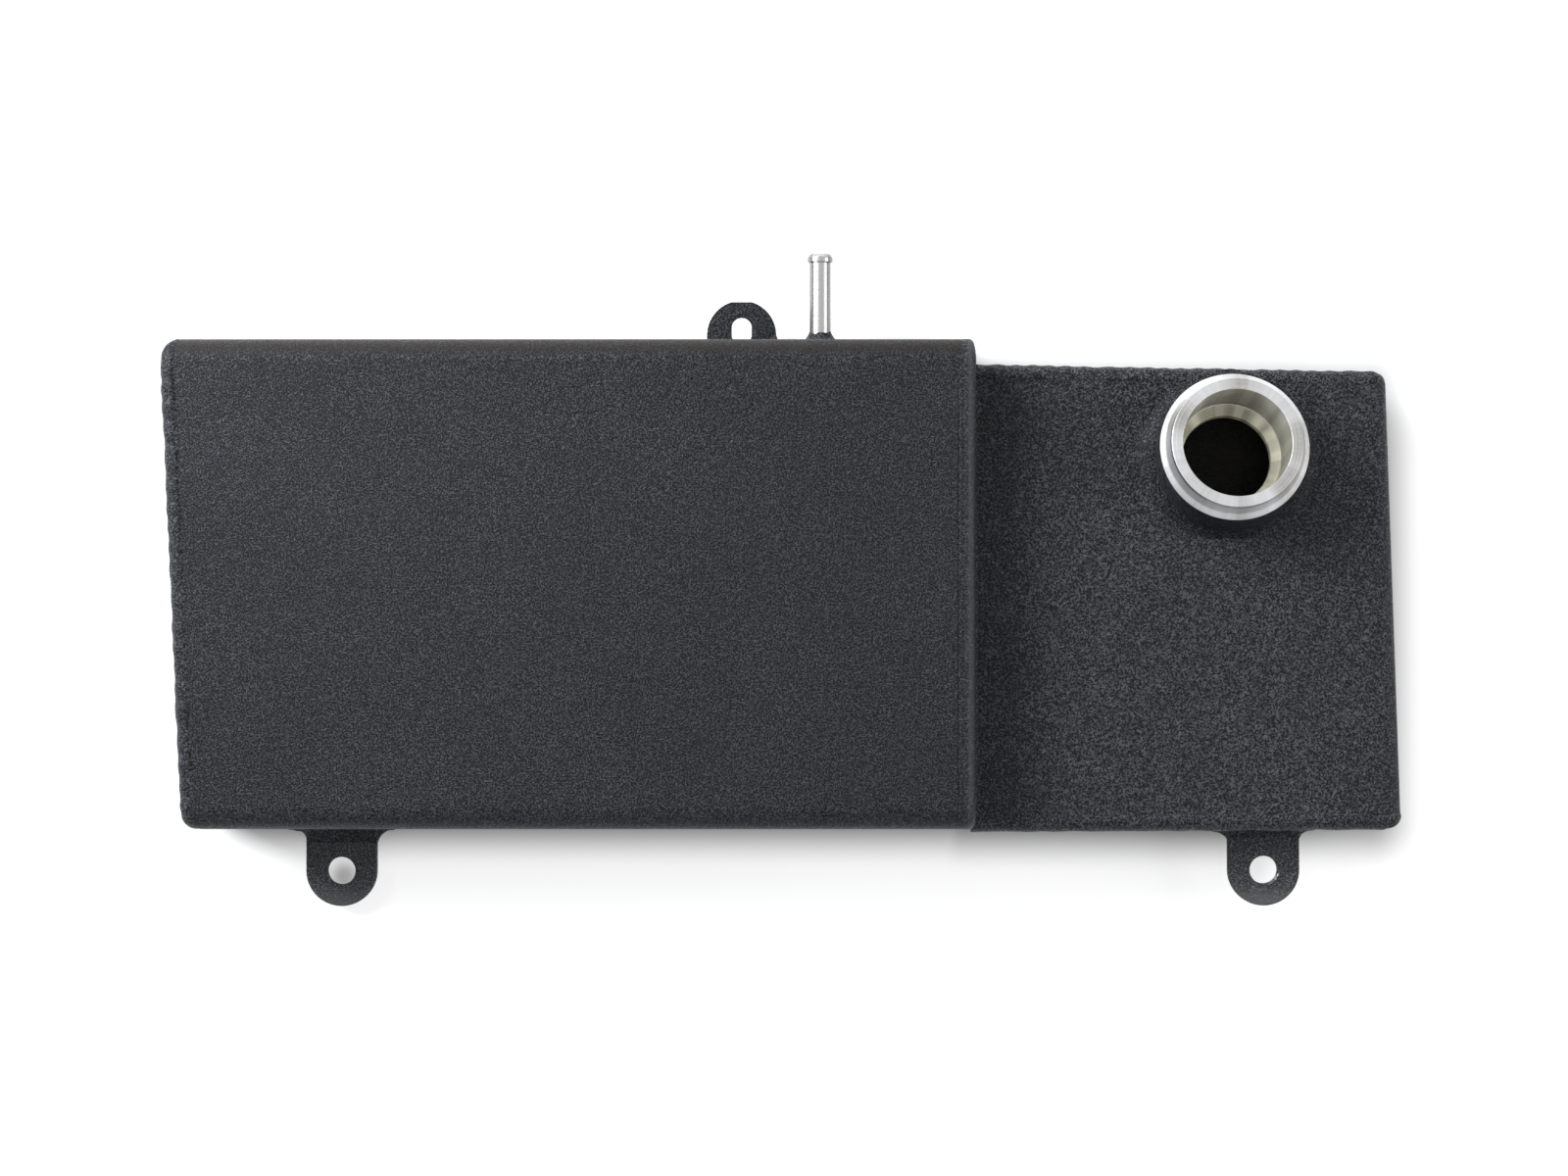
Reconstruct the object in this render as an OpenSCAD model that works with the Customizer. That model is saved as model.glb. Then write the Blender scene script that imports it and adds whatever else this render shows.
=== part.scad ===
// Coolant expansion tank, folded and welded from aluminium sheet.
// X runs along the tank, Y up its broad face and Z out of its flat back.
// The origin is the middle of the main chamber's back face.

/* [Main chamber] */
// Length of the main chamber, measured along its mid height
main_length = 292; // [240:1:360]
// Height of the main chamber across its two long folds
main_height = 179; // [150:1:215]
// Depth of the main chamber from its back to its front
main_depth = 66; // [54:1:80]
// Lean of the outer end plate, in degrees
end_lean = 2.5; // [0:0.1:4]
// Outside radius of the two long folds
fold_r = 9; // [7:0.5:12]

/* [Side chamber] */
// Length of the side chamber from the step plate, along its mid height
side_length = 156.6; // [130:1:190]
// Drop from the main chamber's upper edge to the side chamber's
side_drop = 8.4; // [7:0.2:14]
// Overhang of the side chamber's lower edge past the main chamber's
side_overhang = 1.6; // [0.6:0.1:2]
// Height of the side chamber's back above the main chamber's back
side_rise = 14; // [11:0.5:17]
// Depth of the side chamber from its back to its front
side_depth = 30; // [25:1:36]
// Fall of the side chamber's upper edge, in degrees
side_fall = 0.95; // [0:0.05:1.5]
// Climb of the side chamber's lower edge, in degrees
side_climb = 0.3; // [0:0.05:1]
// Lean of the side chamber's outer wall, in degrees
side_lean = 2; // [0:0.1:4]
// Outside radius of the fold along the outer wall
side_fold_r = 5; // [4:0.5:7]

/* [Sheet and welds] */
// Thickness of the sheet
sheet_t = 3; // [2.5:0.1:3.6]
// Height of a corner bead above the sheet that it joins
bead_crown = 0.5; // [0.3:0.1:0.8]
// Width of a corner bead, where it takes the place of the folded sheet
bead_w = 4; // [3.6:0.2:5]
// Leg of the small fillet where the side chamber meets the step plate
root_leg = 2.4; // [1.5:0.1:3]
// Clearance of a piece that is slipped into place before it is welded
slip = 0.15; // [0.1:0.05:0.3]

/* [Filler neck] */
// Distance of the neck from the step plate
neck_from_step = 94.7; // [75:1:110]
// Gap from the neck's side to the side chamber's upper edge
neck_edge_gap = 5.5; // [4.5:0.5:12]
// Lean of the neck towards the upper edge, in degrees
neck_lean = 9.8; // [0:0.2:12]
// Height of the rim above the side chamber's front
neck_rise = 26; // [20:1:32]
// Radius of the neck's plain barrel
neck_barrel_r = 27.2; // [24:0.2:32.8]
// Outside radius of the flat rim
neck_rim_r = 23.8; // [21.6:0.2:24]
// Radius of the wide bore that takes the cap
neck_bore_r = 19.8; // [17.5:0.2:21]
// Radius of the seat's opening into the tank
neck_seat_r = 16.5; // [13.5:0.5:17]
// Depth of the conical seat
neck_seat_h = 3; // [2:0.5:4]
// Depth of the steep taper under the rim
neck_taper_h = 5.4; // [4:0.2:6.4]
// Depth from the rim to the plain barrel
neck_shoulder_h = 7.6; // [7.2:0.2:9]
// Wall of the spigot that passes through the sheet
neck_spigot_wall = 4.2; // [3:0.2:5]
// Length of the spigot inside the tank
neck_tail = 4; // [2:0.5:6]
// Leg of the weld around the neck
neck_weld_leg = 4.8; // [3:0.2:5.4]

/* [Vent nipple] */
// Distance of the nipple from the step plate
vent_from_step = 55.7; // [40:1:70]
// Outside radius of the nipple
vent_r = 4; // [3:0.25:5]
// Radius of the nipple's bore
vent_bore_r = 2.8; // [2.1:0.1:3]
// Reach of the nipple above the upper wall
vent_reach = 33.6; // [26:0.2:42]
// Height of the hose bead above the nipple's side
vent_bead_h = 0.75; // [0.4:0.05:1]
// Length of the hose bead
vent_bead_l = 3.3; // [2.4:0.1:4]
// Leg of the weld around the nipple
vent_weld_leg = 4; // [3:0.2:6]

/* [Outlet boss] */
// Distance of the outlet from the step plate
outlet_from_step = 42; // [34:1:60]
// Distance of the outlet from the side chamber's lower edge
outlet_from_edge = 46; // [36:1:60]
// Outside radius of the threaded boss
outlet_r = 15; // [13:0.5:18]
// Radius of the outlet's thread at its crests
outlet_bore_r = 10.2; // [8:0.1:11]
// Gap between the boss and the plane that the tank lies on
outlet_floor_gap = 1; // [0.6:0.1:2]
// Leg of the weld around the boss
outlet_weld_leg = 3.5; // [2:0.5:5]

/* [Mounting tabs] */
// Thickness of the tabs
tab_t = 4; // [3:0.5:5]
// Width of the two lower tabs
tab_w = 27; // [22:0.5:32]
// Radius of the bolt holes
tab_hole_r = 5.25; // [4.25:0.25:6.5]
// Reach of the outer lower tab's hole from the main chamber
left_tab_reach = 19.8; // [18:0.1:24]
// Distance of that tab from the end plate
left_tab_from_end = 54; // [40:1:70]
// Height of that tab's back above the tank's back
left_tab_z = 5; // [4:0.5:10]
// Reach of the inner lower tab's hole from the side chamber
right_tab_reach = 17.2; // [16:0.1:22]
// Distance of that tab from the side chamber's outer wall
right_tab_from_end = 45; // [30:1:60]
// Height of that tab's back above the side chamber's back
right_tab_z = 4; // [3.4:0.1:8]
// Width of the upper tab
top_tab_w = 26; // [22:0.5:31]
// Reach of the upper tab's flattened end above the wall
top_tab_reach = 16.4; // [14:0.2:20]
// Distance of the upper tab from the step plate
top_tab_from_step = 85.1; // [78:1:110]
// Height of the upper tab's back above the tank's back
top_tab_z = 23; // [14:1:28]
// Width of the slot in the upper tab
slot_w = 7.5; // [6:0.5:9]
// Length of that slot from end to end
slot_l = 9; // [7.6:0.1:10.8]
// Land between the slot and the tab's flattened end
slot_land = 5.7; // [4.5:0.1:6]
// Leg of the welds at the roots of the tabs
tab_weld_leg = 6; // [4:0.5:7]

/* [Inside plates] */
// Thickness of the baffle
baffle_t = 2; // [1.5:0.5:3]
// Distance of the baffle from the main chamber's middle
baffle_x = -8; // [-30:1:20]
// Radius of the flow holes in the baffle
baffle_hole_r = 12; // [9:0.5:15]
// Spacing of the flow holes in the baffle
baffle_pitch = 55; // [44:1:62]
// Radius of the flow holes in the step plate
port_r = 7; // [5:0.5:8]
// Spacing of the flow holes in the step plate
port_pitch = 31; // [26:1:35]
// Number of flow holes in the step plate
port_count = 5; // [3:2:5]

/* [Hidden] */

$fn = 96;
coat = "#34373b";
bare = "#c8cacd";

// Longer than any piece, for cutting tools
far = 800;
step_x = main_length / 2;
half_h = main_height / 2;
side_front = side_rise + side_depth;
vent_z = main_depth / 2;
bead_r = bead_w + bead_crown;
// The side chamber starts just clear of the crown of the bead round the step
side_x = step_x + bead_crown;

// Where two lines meet, each given by a point and a direction
function meet(p, u, q, v) = p + u * (cross(q - p, v) / cross(u, v));
function unit(a) = [cos(a), sin(a)];
function unit_to(p, q) = (q - p) / norm(q - p);

// The main chamber's outer end, as a line that leans with height
function end_x(y, inset) = -step_x - y * tan(end_lean) + inset / cos(end_lean);
function main_corners(inset) = [
    [end_x(inset - half_h, inset), inset - half_h],
    [step_x - inset, inset - half_h],
    [step_x - inset, half_h - inset],
    [end_x(half_h - inset, inset), half_h - inset]
];

// The side chamber's edges seen from the front, each moved inwards by its own inset
upper_dir = unit(-side_fall);
lower_dir = unit(side_climb);
outer_dir = unit(90 + side_lean);
function upper_point(inset) = [side_x, half_h - side_drop - inset / cos(side_fall)];
function lower_point(inset) = [side_x, -half_h - side_overhang + inset / cos(side_climb)];
function outer_point(inset) = [step_x + side_length - inset / cos(side_lean), 0];
function side_corners(upper, lower, outer) = [
    lower_point(lower),
    meet(lower_point(lower), lower_dir, outer_point(outer), outer_dir),
    meet(upper_point(upper), upper_dir, outer_point(outer), outer_dir),
    upper_point(upper)
];
function upper_y(x) = upper_point(0)[1] - (x - side_x) * tan(side_fall);
function lower_y(x) = lower_point(0)[1] + (x - side_x) * tan(side_climb);

neck_x = step_x + neck_from_step;
neck_y = upper_y(neck_x) - neck_barrel_r - neck_edge_gap;
neck_spigot_r = neck_seat_r + neck_spigot_wall;
vent_x = step_x - vent_from_step;
outlet_x = step_x + outlet_from_step;
outlet_y = lower_y(outlet_x) + outlet_from_edge;
left_tab_x = left_tab_from_end - step_x;
right_tab_x = step_x + side_length - right_tab_from_end;
top_tab_x = step_x - top_tab_from_step;

// Stretch a drawing of Y and Z along X
module along_x(x0, x1) {
    translate([x0, 0, 0]) rotate([90, 0, 90]) linear_extrude(x1 - x0) children();
}

// Stand a drawing of X and Y between two heights
module between(z0, z1) {
    translate([0, 0, z0]) linear_extrude(z1 - z0) children();
}

// Section across the main chamber, with its two folds at the front
module shell_outline(inset, foot) {
    half = half_h - inset;
    front = main_depth - inset;
    bend = fold_r - inset;
    translate([-half, foot]) square([2 * half, front - bend - foot]);
    translate([bend - half, foot]) square([2 * (half - bend), front - foot]);
    for (side = [-1, 1]) translate([side * (half - bend), front - bend]) circle(bend);
}

// Section across the fold of the side chamber, outer face of the wall at X = 0
module fold_outline(inset, foot) {
    front = side_front - inset;
    bend = side_fold_r - inset;
    translate([-far, foot]) square([far - inset, front - bend - foot]);
    translate([-far, foot]) square([far - inset - bend, front - foot]);
    translate([-inset - bend, front - bend]) circle(bend);
}

// Frame of the leaning end plate: X out of the tank, Y up the plate
module at_end() {
    translate([-step_x, 0, 0]) rotate([0, 0, end_lean]) mirror([1, 0, 0]) children();
}

// Frame of the side chamber's outer wall: X out of the wall, Y up it
module at_outer_wall() {
    translate([step_x + side_length, 0, 0]) rotate([0, 0, side_lean]) children();
}

// Frame of the neck: Z along its axis, from the side chamber's front
module at_neck() {
    translate([neck_x, neck_y, side_front]) rotate([-neck_lean, 0, 0]) children();
}

// Frames of the tabs: the wall at Y = 0 and the tab towards -Y
module at_left_tab() {
    translate([left_tab_x, -half_h, left_tab_z]) children();
}
module at_right_tab() {
    translate([right_tab_x, lower_y(right_tab_x), side_rise + right_tab_z]) rotate([0, 0, side_climb]) children();
}
module at_top_tab() {
    translate([top_tab_x, half_h, top_tab_z]) mirror([0, 1, 0]) children();
}

// Section of a corner bead: X out of the joined plate, Y out of the folded sheet.
// root deepens it into the tank, where the seam isn't square and it is cut to fit.
module bead_section(root) {
    intersection() {
        translate([-bead_w, -bead_w]) circle(bead_r);
        translate([-bead_w - root, -sheet_t - root]) square([bead_r + root, sheet_t + bead_crown + root]);
    }
}

// Carry a section along a sheet's front, round its fold at Y = 0 and down its wall
module along_fold(run, depth, bend, foot) {
    translate([0, -bend, depth]) rotate([90, 0, 0]) linear_extrude(run - bend) children();
    translate([0, -bend, depth - bend]) rotate([90, 0, 90]) rotate_extrude(angle = 90)
        translate([bend, 0]) mirror([1, -1, 0]) children();
    translate([0, 0, foot]) linear_extrude(depth - bend - foot) children();
}

// The same across the main chamber, with a fold at either side
module along_both_folds(height) {
    for (side = [0, 1]) mirror([0, side, 0]) translate([0, height / 2, 0])
        along_fold(height / 2, main_depth, fold_r, sheet_t) children();
}

// Tool that bevels the lower edge of a plate from p to q, with the plate to its left
module edge_bevel(p, q, leg, z) {
    heading = atan2(q[1] - p[1], q[0] - p[0]);
    translate([p[0], p[1], z]) rotate([0, 0, heading]) along_x(-far, far)
        polygon([[-1, leg + 1], [-1, -1], [leg + 1, -1]]);
}

// Drawing that rounds a corner at p, between the edges towards q and s
module corner_round(p, q, s, r) {
    u = unit_to(p, q);
    v = unit_to(p, s);
    centre = p + (u + v) * r / abs(cross(u, v));
    leg = (centre - p) * u;
    difference() {
        polygon([
            p + u * leg,
            p + u * leg + (p - centre),
            p + 2 * (p - centre),
            p + v * leg + (p - centre),
            p + v * leg,
            centre
        ]);
        translate(centre) circle(r);
    }
}

// Flat blank of a lower tab with a round end
module tab_blank(width, reach) {
    translate([-width / 2, -reach]) square([width, reach]);
    translate([0, -reach]) circle(width / 2);
}

// Weld at a tab's root: over the tab, round both its sides and under it
module tab_root(width, under) {
    spread = width / 2 + tab_weld_leg;
    intersection() {
        along_x(-far, far) polygon([
            [0, -under],
            [0, tab_t + tab_weld_leg],
            [-tab_weld_leg, tab_t],
            [-tab_weld_leg, 0],
            [-under, 0]
        ]);
        between(-far, far) difference() {
            translate([-spread, -tab_weld_leg]) square([2 * spread, tab_weld_leg]);
            for (side = [-1, 1]) translate([side * spread, -tab_weld_leg]) circle(tab_weld_leg);
        }
    }
}

// Sheet of the main chamber before it is drilled
module shell_sheet() {
    difference() {
        along_x(-far, step_x - bead_w) shell_outline(0, sheet_t);
        along_x(-far - 1, far) shell_outline(sheet_t, 0);
        at_end() translate([-bead_w, -far, 0]) cube(2 * far);
    }
}

// Folded sheet: front, upper wall and lower wall in one piece
module main_shell() {
    color(coat) difference() {
        shell_sheet();
        translate([vent_x, half_h, vent_z]) rotate([90, 0, 0])
            cylinder(r = vent_r + slip, h = 4 * sheet_t, center = true);
    }
}

module main_back_plate() {
    color(coat) between(0, sheet_t) polygon(main_corners(sheet_t));
}

// Leaning plate that closes the main chamber's outer end
module end_plate() {
    color(coat) intersection() {
        along_x(-far, 0) shell_outline(sheet_t, sheet_t);
        at_end() translate([-sheet_t, -far, 0]) cube([sheet_t, 2 * far, main_depth]);
    }
}

// Plate between the chambers, with a row of flow holes
module step_plate() {
    color(coat) difference() {
        along_x(step_x - sheet_t, step_x) shell_outline(sheet_t, sheet_t);
        for (hole = [0 : port_count - 1])
            translate([step_x, (hole - (port_count - 1) / 2) * port_pitch, side_rise + side_depth / 2])
                rotate([0, 90, 0]) cylinder(r = port_r, h = 4 * sheet_t, center = true);
    }
}

// Plate across the main chamber that ties its broad walls and slows surging coolant
module surge_baffle() {
    half = half_h - sheet_t;
    color(bare) along_x(baffle_x - baffle_t / 2, baffle_x + baffle_t / 2) difference() {
        shell_outline(sheet_t + slip, sheet_t + slip);
        for (hole = [-1 : 1]) translate([hole * baffle_pitch, vent_z]) circle(baffle_hole_r);
        for (side = [-1, 1]) translate([side * half, main_depth - sheet_t]) circle(fold_r * 1.4);
        for (side = [-1, 1]) translate([side * half, sheet_t]) circle(fold_r);
    }
}

// Everything inside the side chamber's folded sheet
module within_fold() {
    at_outer_wall() rotate([90, 0, 0]) linear_extrude(2 * far, center = true)
        fold_outline(sheet_t, side_rise);
}

// Folded sheet of the side chamber: front and outer wall in one piece
module side_cover() {
    color(coat) difference() {
        intersection() {
            at_outer_wall() rotate([90, 0, 0]) linear_extrude(far, center = true)
                fold_outline(0, side_rise + sheet_t);
            between(0, side_front) polygon(side_corners(bead_w, bead_w, 0));
        }
        within_fold();
        at_neck() cylinder(r = neck_spigot_r + slip, h = 6 * sheet_t, center = true);
    }
}

// Strip between the side chamber's front and back, along one of its long edges
module side_strip(outer_edge, inner_edge) {
    intersection() {
        between(side_rise + sheet_t, side_front) polygon([
            outer_edge[0], outer_edge[1], inner_edge[1], inner_edge[0]
        ]);
        within_fold();
    }
}

module side_top_plate() {
    outside = side_corners(0, 0, sheet_t);
    inside = side_corners(sheet_t, sheet_t, sheet_t);
    color(coat) side_strip([outside[3], outside[2]], [inside[3], inside[2]]);
}

module side_bottom_plate() {
    outside = side_corners(0, 0, sheet_t);
    inside = side_corners(sheet_t, sheet_t, sheet_t);
    color(coat) side_strip([outside[0], outside[1]], [inside[0], inside[1]]);
}

module side_back_plate() {
    color(coat) difference() {
        between(side_rise, side_rise + sheet_t) polygon(side_corners(sheet_t, sheet_t, sheet_t));
        translate([outlet_x, outlet_y, side_rise]) cylinder(r = outlet_r - 2 + slip, h = 4 * sheet_t, center = true);
    }
}

// Half section of the turned neck, its axis at X = 0 and the sheet's face at Y = 0
module neck_section() {
    taper_r = neck_rim_r + 0.45 * (neck_barrel_r - neck_rim_r);
    polygon([
        [neck_bore_r + 0.5, neck_rise],
        [neck_rim_r - 0.4, neck_rise],
        [neck_rim_r, neck_rise - 0.5],
        [taper_r, neck_rise - neck_taper_h],
        [taper_r + 0.3, neck_rise - neck_taper_h - 0.4],
        [neck_barrel_r, neck_rise - neck_shoulder_h],
        [neck_barrel_r, -neck_barrel_r / 2],
        [neck_seat_r, -neck_barrel_r / 2],
        [neck_seat_r, -neck_seat_h],
        [neck_bore_r, 0],
        [neck_bore_r, neck_rise - 0.5]
    ]);
}

// Filler neck: the barrel is cut to lie on the sloping face, and a spigot goes through it
module filler_neck() {
    color(bare) {
        intersection() {
            at_neck() rotate_extrude() neck_section();
            translate([0, 0, side_front]) cylinder(r = far, h = far);
        }
        intersection() {
            at_neck() difference() {
                translate([0, 0, -sheet_t - neck_tail]) cylinder(r = neck_spigot_r, h = sheet_t + neck_tail + neck_barrel_r);
                translate([0, 0, -far]) cylinder(r = neck_seat_r, h = 2 * far);
                translate([0, 0, -neck_seat_h]) cylinder(r1 = neck_seat_r, r2 = neck_bore_r, h = neck_seat_h);
                cylinder(r = neck_bore_r, h = far);
            }
            translate([0, 0, side_front - far]) cylinder(r = far, h = far);
        }
    }
}

// Hose nipple with a bead at its mouth, rounded in front and sharp behind
module vent_nipple() {
    rim = vent_r + vent_bead_h;
    color(bare) translate([vent_x, half_h, vent_z]) rotate([-90, 0, 0]) difference() {
        rotate_extrude() polygon([
            [0, -2 * sheet_t],
            [vent_r, -2 * sheet_t],
            [vent_r, vent_reach - vent_bead_l],
            [rim, vent_reach - vent_bead_l + vent_bead_h / 3],
            [rim, vent_reach - vent_bead_l / 2],
            [rim - vent_bead_h / 3, vent_reach - vent_bead_l / 5],
            [vent_r - 0.2, vent_reach],
            [0, vent_reach]
        ]);
        cylinder(r = vent_bore_r, h = far, center = true);
    }
}

// Threaded boss under the side chamber, its spigot through the back plate
module outlet_boss() {
    mouth_z = outlet_floor_gap;
    color(bare) translate([outlet_x, outlet_y, 0]) difference() {
        union() {
            translate([0, 0, mouth_z]) cylinder(r1 = outlet_r - 0.8, r2 = outlet_r, h = 0.8);
            translate([0, 0, mouth_z + 0.8]) cylinder(r = outlet_r, h = side_rise - mouth_z - 0.8);
            translate([0, 0, side_rise]) cylinder(r = outlet_r - 2, h = sheet_t + 2);
        }
        cylinder(r = outlet_bore_r, h = far);
        translate([0, 0, mouth_z - 1]) cylinder(r1 = outlet_bore_r + 2, r2 = outlet_bore_r, h = 2);
    }
}

module left_tab() {
    color(coat) at_left_tab() linear_extrude(tab_t) difference() {
        tab_blank(tab_w, left_tab_reach);
        translate([0, -left_tab_reach]) circle(tab_hole_r);
    }
}

module right_tab() {
    color(coat) at_right_tab() linear_extrude(tab_t) difference() {
        tab_blank(tab_w, right_tab_reach);
        translate([0, -right_tab_reach]) circle(tab_hole_r);
    }
}

// Upper tab: a short round tab with a flattened end and an upright slot
module top_tab() {
    slot_far = top_tab_reach - slot_land - slot_w / 2;
    slot_near = slot_far - slot_l + slot_w;
    color(coat) at_top_tab() linear_extrude(tab_t) difference() {
        intersection() {
            tab_blank(top_tab_w, top_tab_reach + 0.6 - top_tab_w / 2);
            translate([-top_tab_w, -top_tab_reach]) square([2 * top_tab_w, top_tab_reach]);
        }
        for (y = [slot_near, slot_far]) translate([0, -y]) circle(slot_w / 2);
        translate([-slot_w / 2, -slot_far]) square([slot_w, slot_far - slot_near]);
    }
}

// Bead round the leaning end of the folded sheet
module end_weld() {
    color(coat) difference() {
        at_end() along_both_folds(main_height / cos(end_lean)) bead_section(bead_crown);
        along_x(-far, 0) shell_outline(sheet_t, 0);
        at_end() translate([-far - bead_w, -far, -far]) cube([far, 2 * far, 2 * far]);
    }
}

module step_weld() {
    color(coat) translate([step_x, 0, 0]) along_both_folds(main_height) bead_section(0);
}

// Seam that fills the open corner round a back plate, bevelled to the floor.
// rounded lists the corners that are rounded, and sides the edges that are bevelled.
module seam_ring(outside, inside, rounded, sides, z) {
    count = len(outside);
    difference() {
        between(z, z + sheet_t) difference() {
            polygon(outside);
            polygon(inside);
            for (i = rounded)
                corner_round(outside[i], outside[(i + 1) % count], outside[(i + count - 1) % count], bead_w);
        }
        for (i = sides) edge_bevel(outside[i], outside[(i + 1) % count], 0.6 * sheet_t, z);
    }
}

module main_seam_weld() {
    color(coat) seam_ring(main_corners(0), main_corners(sheet_t), [0 : 3], [0 : 3], 0);
}

module side_seam_weld() {
    color(coat) seam_ring(side_corners(0, 0, 0), side_corners(sheet_t, sheet_t, sheet_t), [1, 2], [0, 1, 2], side_rise);
}

// Bead from the step along an edge of the side chamber, then down its outer wall.
// The frame has its origin at the outer corner and Y along the edge, away from the step.
module side_bead() {
    difference() {
        along_fold(side_length + 2 * side_fold_r, side_front, side_fold_r, side_rise + sheet_t)
            bead_section(bead_crown);
        translate([-far - bead_w, -far, -far]) cube([far, 2 * far, 2 * far]);
    }
}

module side_top_bead() {
    difference() {
        translate(side_corners(0, 0, 0)[2]) rotate([0, 0, -side_fall]) mirror([1, -1, 0]) side_bead();
        within_fold();
        translate([side_x - far, -far, -far]) cube([far, 2 * far, 2 * far]);
    }
}

module side_top_weld() {
    color(coat) difference() {
        side_top_bead();
        neck_foot();
    }
}

module side_bottom_weld() {
    color(coat) difference() {
        translate(side_corners(0, 0, 0)[1]) rotate([0, 0, side_climb - 90]) side_bead();
        within_fold();
        translate([side_x - far, -far, -far]) cube([far, 2 * far, 2 * far]);
    }
}

// Fillet between the step plate and the side chamber's front, upper edge and back
module side_root_weld() {
    up = upper_point(0)[1];
    run = up + root_leg - lower_point(3 * sheet_t)[1];
    section = [[0, 0], [root_leg, 0], [0, root_leg]];
    color(coat) difference() {
        union() {
            translate([step_x, up + root_leg, side_front]) rotate([90, 0, 0]) linear_extrude(run) polygon(section);
            translate([step_x, up, side_rise - root_leg]) linear_extrude(side_depth + 2 * root_leg) polygon(section);
            translate([step_x, up + root_leg, side_rise]) mirror([0, 0, 1]) rotate([90, 0, 0])
                linear_extrude(run) polygon(section);
        }
        between(side_rise, side_front) polygon(side_corners(0, 0, 0));
        side_top_bead();
    }
}

// Cone of weld round the neck's foot, which runs on inside the barrel
module neck_foot() {
    translate([neck_x, neck_y, side_front])
        cylinder(r1 = neck_barrel_r + neck_weld_leg, r2 = neck_barrel_r - neck_weld_leg, h = 2.4 * neck_weld_leg);
}

module neck_weld() {
    color(coat) difference() {
        neck_foot();
        at_neck() cylinder(r = neck_barrel_r, h = far, center = true);
    }
}

module vent_weld() {
    color(coat) translate([vent_x, half_h, vent_z]) rotate([-90, 0, 0]) difference() {
        cylinder(r1 = vent_r + vent_weld_leg, r2 = vent_r + 0.4, h = 1.3 * vent_weld_leg);
        cylinder(r = vent_r, h = far, center = true);
    }
}

module outlet_weld() {
    color(coat) translate([outlet_x, outlet_y, side_rise - outlet_weld_leg]) difference() {
        cylinder(r1 = outlet_r + 0.4, r2 = outlet_r + outlet_weld_leg, h = outlet_weld_leg);
        cylinder(r = outlet_r, h = far, center = true);
    }
}

module left_tab_weld() {
    color(coat) at_left_tab() difference() {
        tab_root(tab_w, left_tab_z - sheet_t);
        linear_extrude(tab_t) tab_blank(tab_w, left_tab_reach);
    }
}

module right_tab_weld() {
    color(coat) at_right_tab() difference() {
        tab_root(tab_w, right_tab_z - sheet_t);
        linear_extrude(tab_t) tab_blank(tab_w, right_tab_reach);
    }
}

module top_tab_weld() {
    slot_foot = top_tab_reach - slot_land - slot_l;
    color(coat) at_top_tab() difference() {
        tab_root(top_tab_w, tab_t / 2);
        linear_extrude(tab_t) tab_blank(top_tab_w, top_tab_reach);
        translate([-slot_w / 2, -far, -far]) cube([slot_w, far - slot_foot, 2 * far]);
    }
}

main_shell();
main_back_plate();
end_plate();
step_plate();
surge_baffle();
side_cover();
side_top_plate();
side_bottom_plate();
side_back_plate();
filler_neck();
vent_nipple();
outlet_boss();
left_tab();
right_tab();
top_tab();
end_weld();
step_weld();
main_seam_weld();
side_top_weld();
side_bottom_weld();
side_seam_weld();
side_root_weld();
neck_weld();
vent_weld();
outlet_weld();
left_tab_weld();
right_tab_weld();
top_tab_weld();
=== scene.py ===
"""Coolant expansion tank: finishes, hand-laid welds, turned fittings, light and camera.

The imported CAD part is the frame. The folded sheets and plates are shown as they are, with
a wrinkle coat. The welds, the turned pieces and the tabs are modelled again with more detail.
Lengths are in millimetres until a mesh is finished, when it becomes metres.
"""

import logging
import math
from dataclasses import dataclass, replace
from enum import Enum
from typing import Callable, Dict, Iterable, List, Optional, Sequence, Tuple, Union

import bmesh
import bpy
from mathutils import Matrix, Vector, noise


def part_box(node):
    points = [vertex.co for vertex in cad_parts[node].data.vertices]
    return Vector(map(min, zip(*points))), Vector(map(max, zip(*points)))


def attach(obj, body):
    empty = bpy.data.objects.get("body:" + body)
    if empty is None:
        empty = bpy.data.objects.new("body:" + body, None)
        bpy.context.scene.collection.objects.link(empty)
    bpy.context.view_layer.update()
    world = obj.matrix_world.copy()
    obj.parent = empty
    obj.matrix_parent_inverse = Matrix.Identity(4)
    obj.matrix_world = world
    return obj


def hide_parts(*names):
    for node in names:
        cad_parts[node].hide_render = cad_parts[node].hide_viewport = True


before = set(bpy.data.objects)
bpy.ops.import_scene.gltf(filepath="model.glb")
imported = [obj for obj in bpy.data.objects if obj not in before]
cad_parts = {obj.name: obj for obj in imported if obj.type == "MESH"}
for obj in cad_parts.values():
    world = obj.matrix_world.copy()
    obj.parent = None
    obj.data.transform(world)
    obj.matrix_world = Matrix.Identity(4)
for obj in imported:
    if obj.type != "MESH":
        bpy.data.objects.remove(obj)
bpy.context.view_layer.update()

log = logging.getLogger("expansion_tank")

MM = 0.001
TAU = 2 * math.pi
WELD_GAP = 0.001
COPY_GAP = 0.002
FLAT = math.radians(1.5)
CORNER = math.radians(35)
BEND = 0.3
X_AXIS, Y_AXIS, Z_AXIS = Vector((1, 0, 0)), Vector((0, 1, 0)), Vector((0, 0, 1))

Number = Union[float, "Wire"]
Colour = Tuple[float, float, float, float]
Point = Tuple[float, float]
Place = Tuple[Vector, Vector, Vector]

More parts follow.
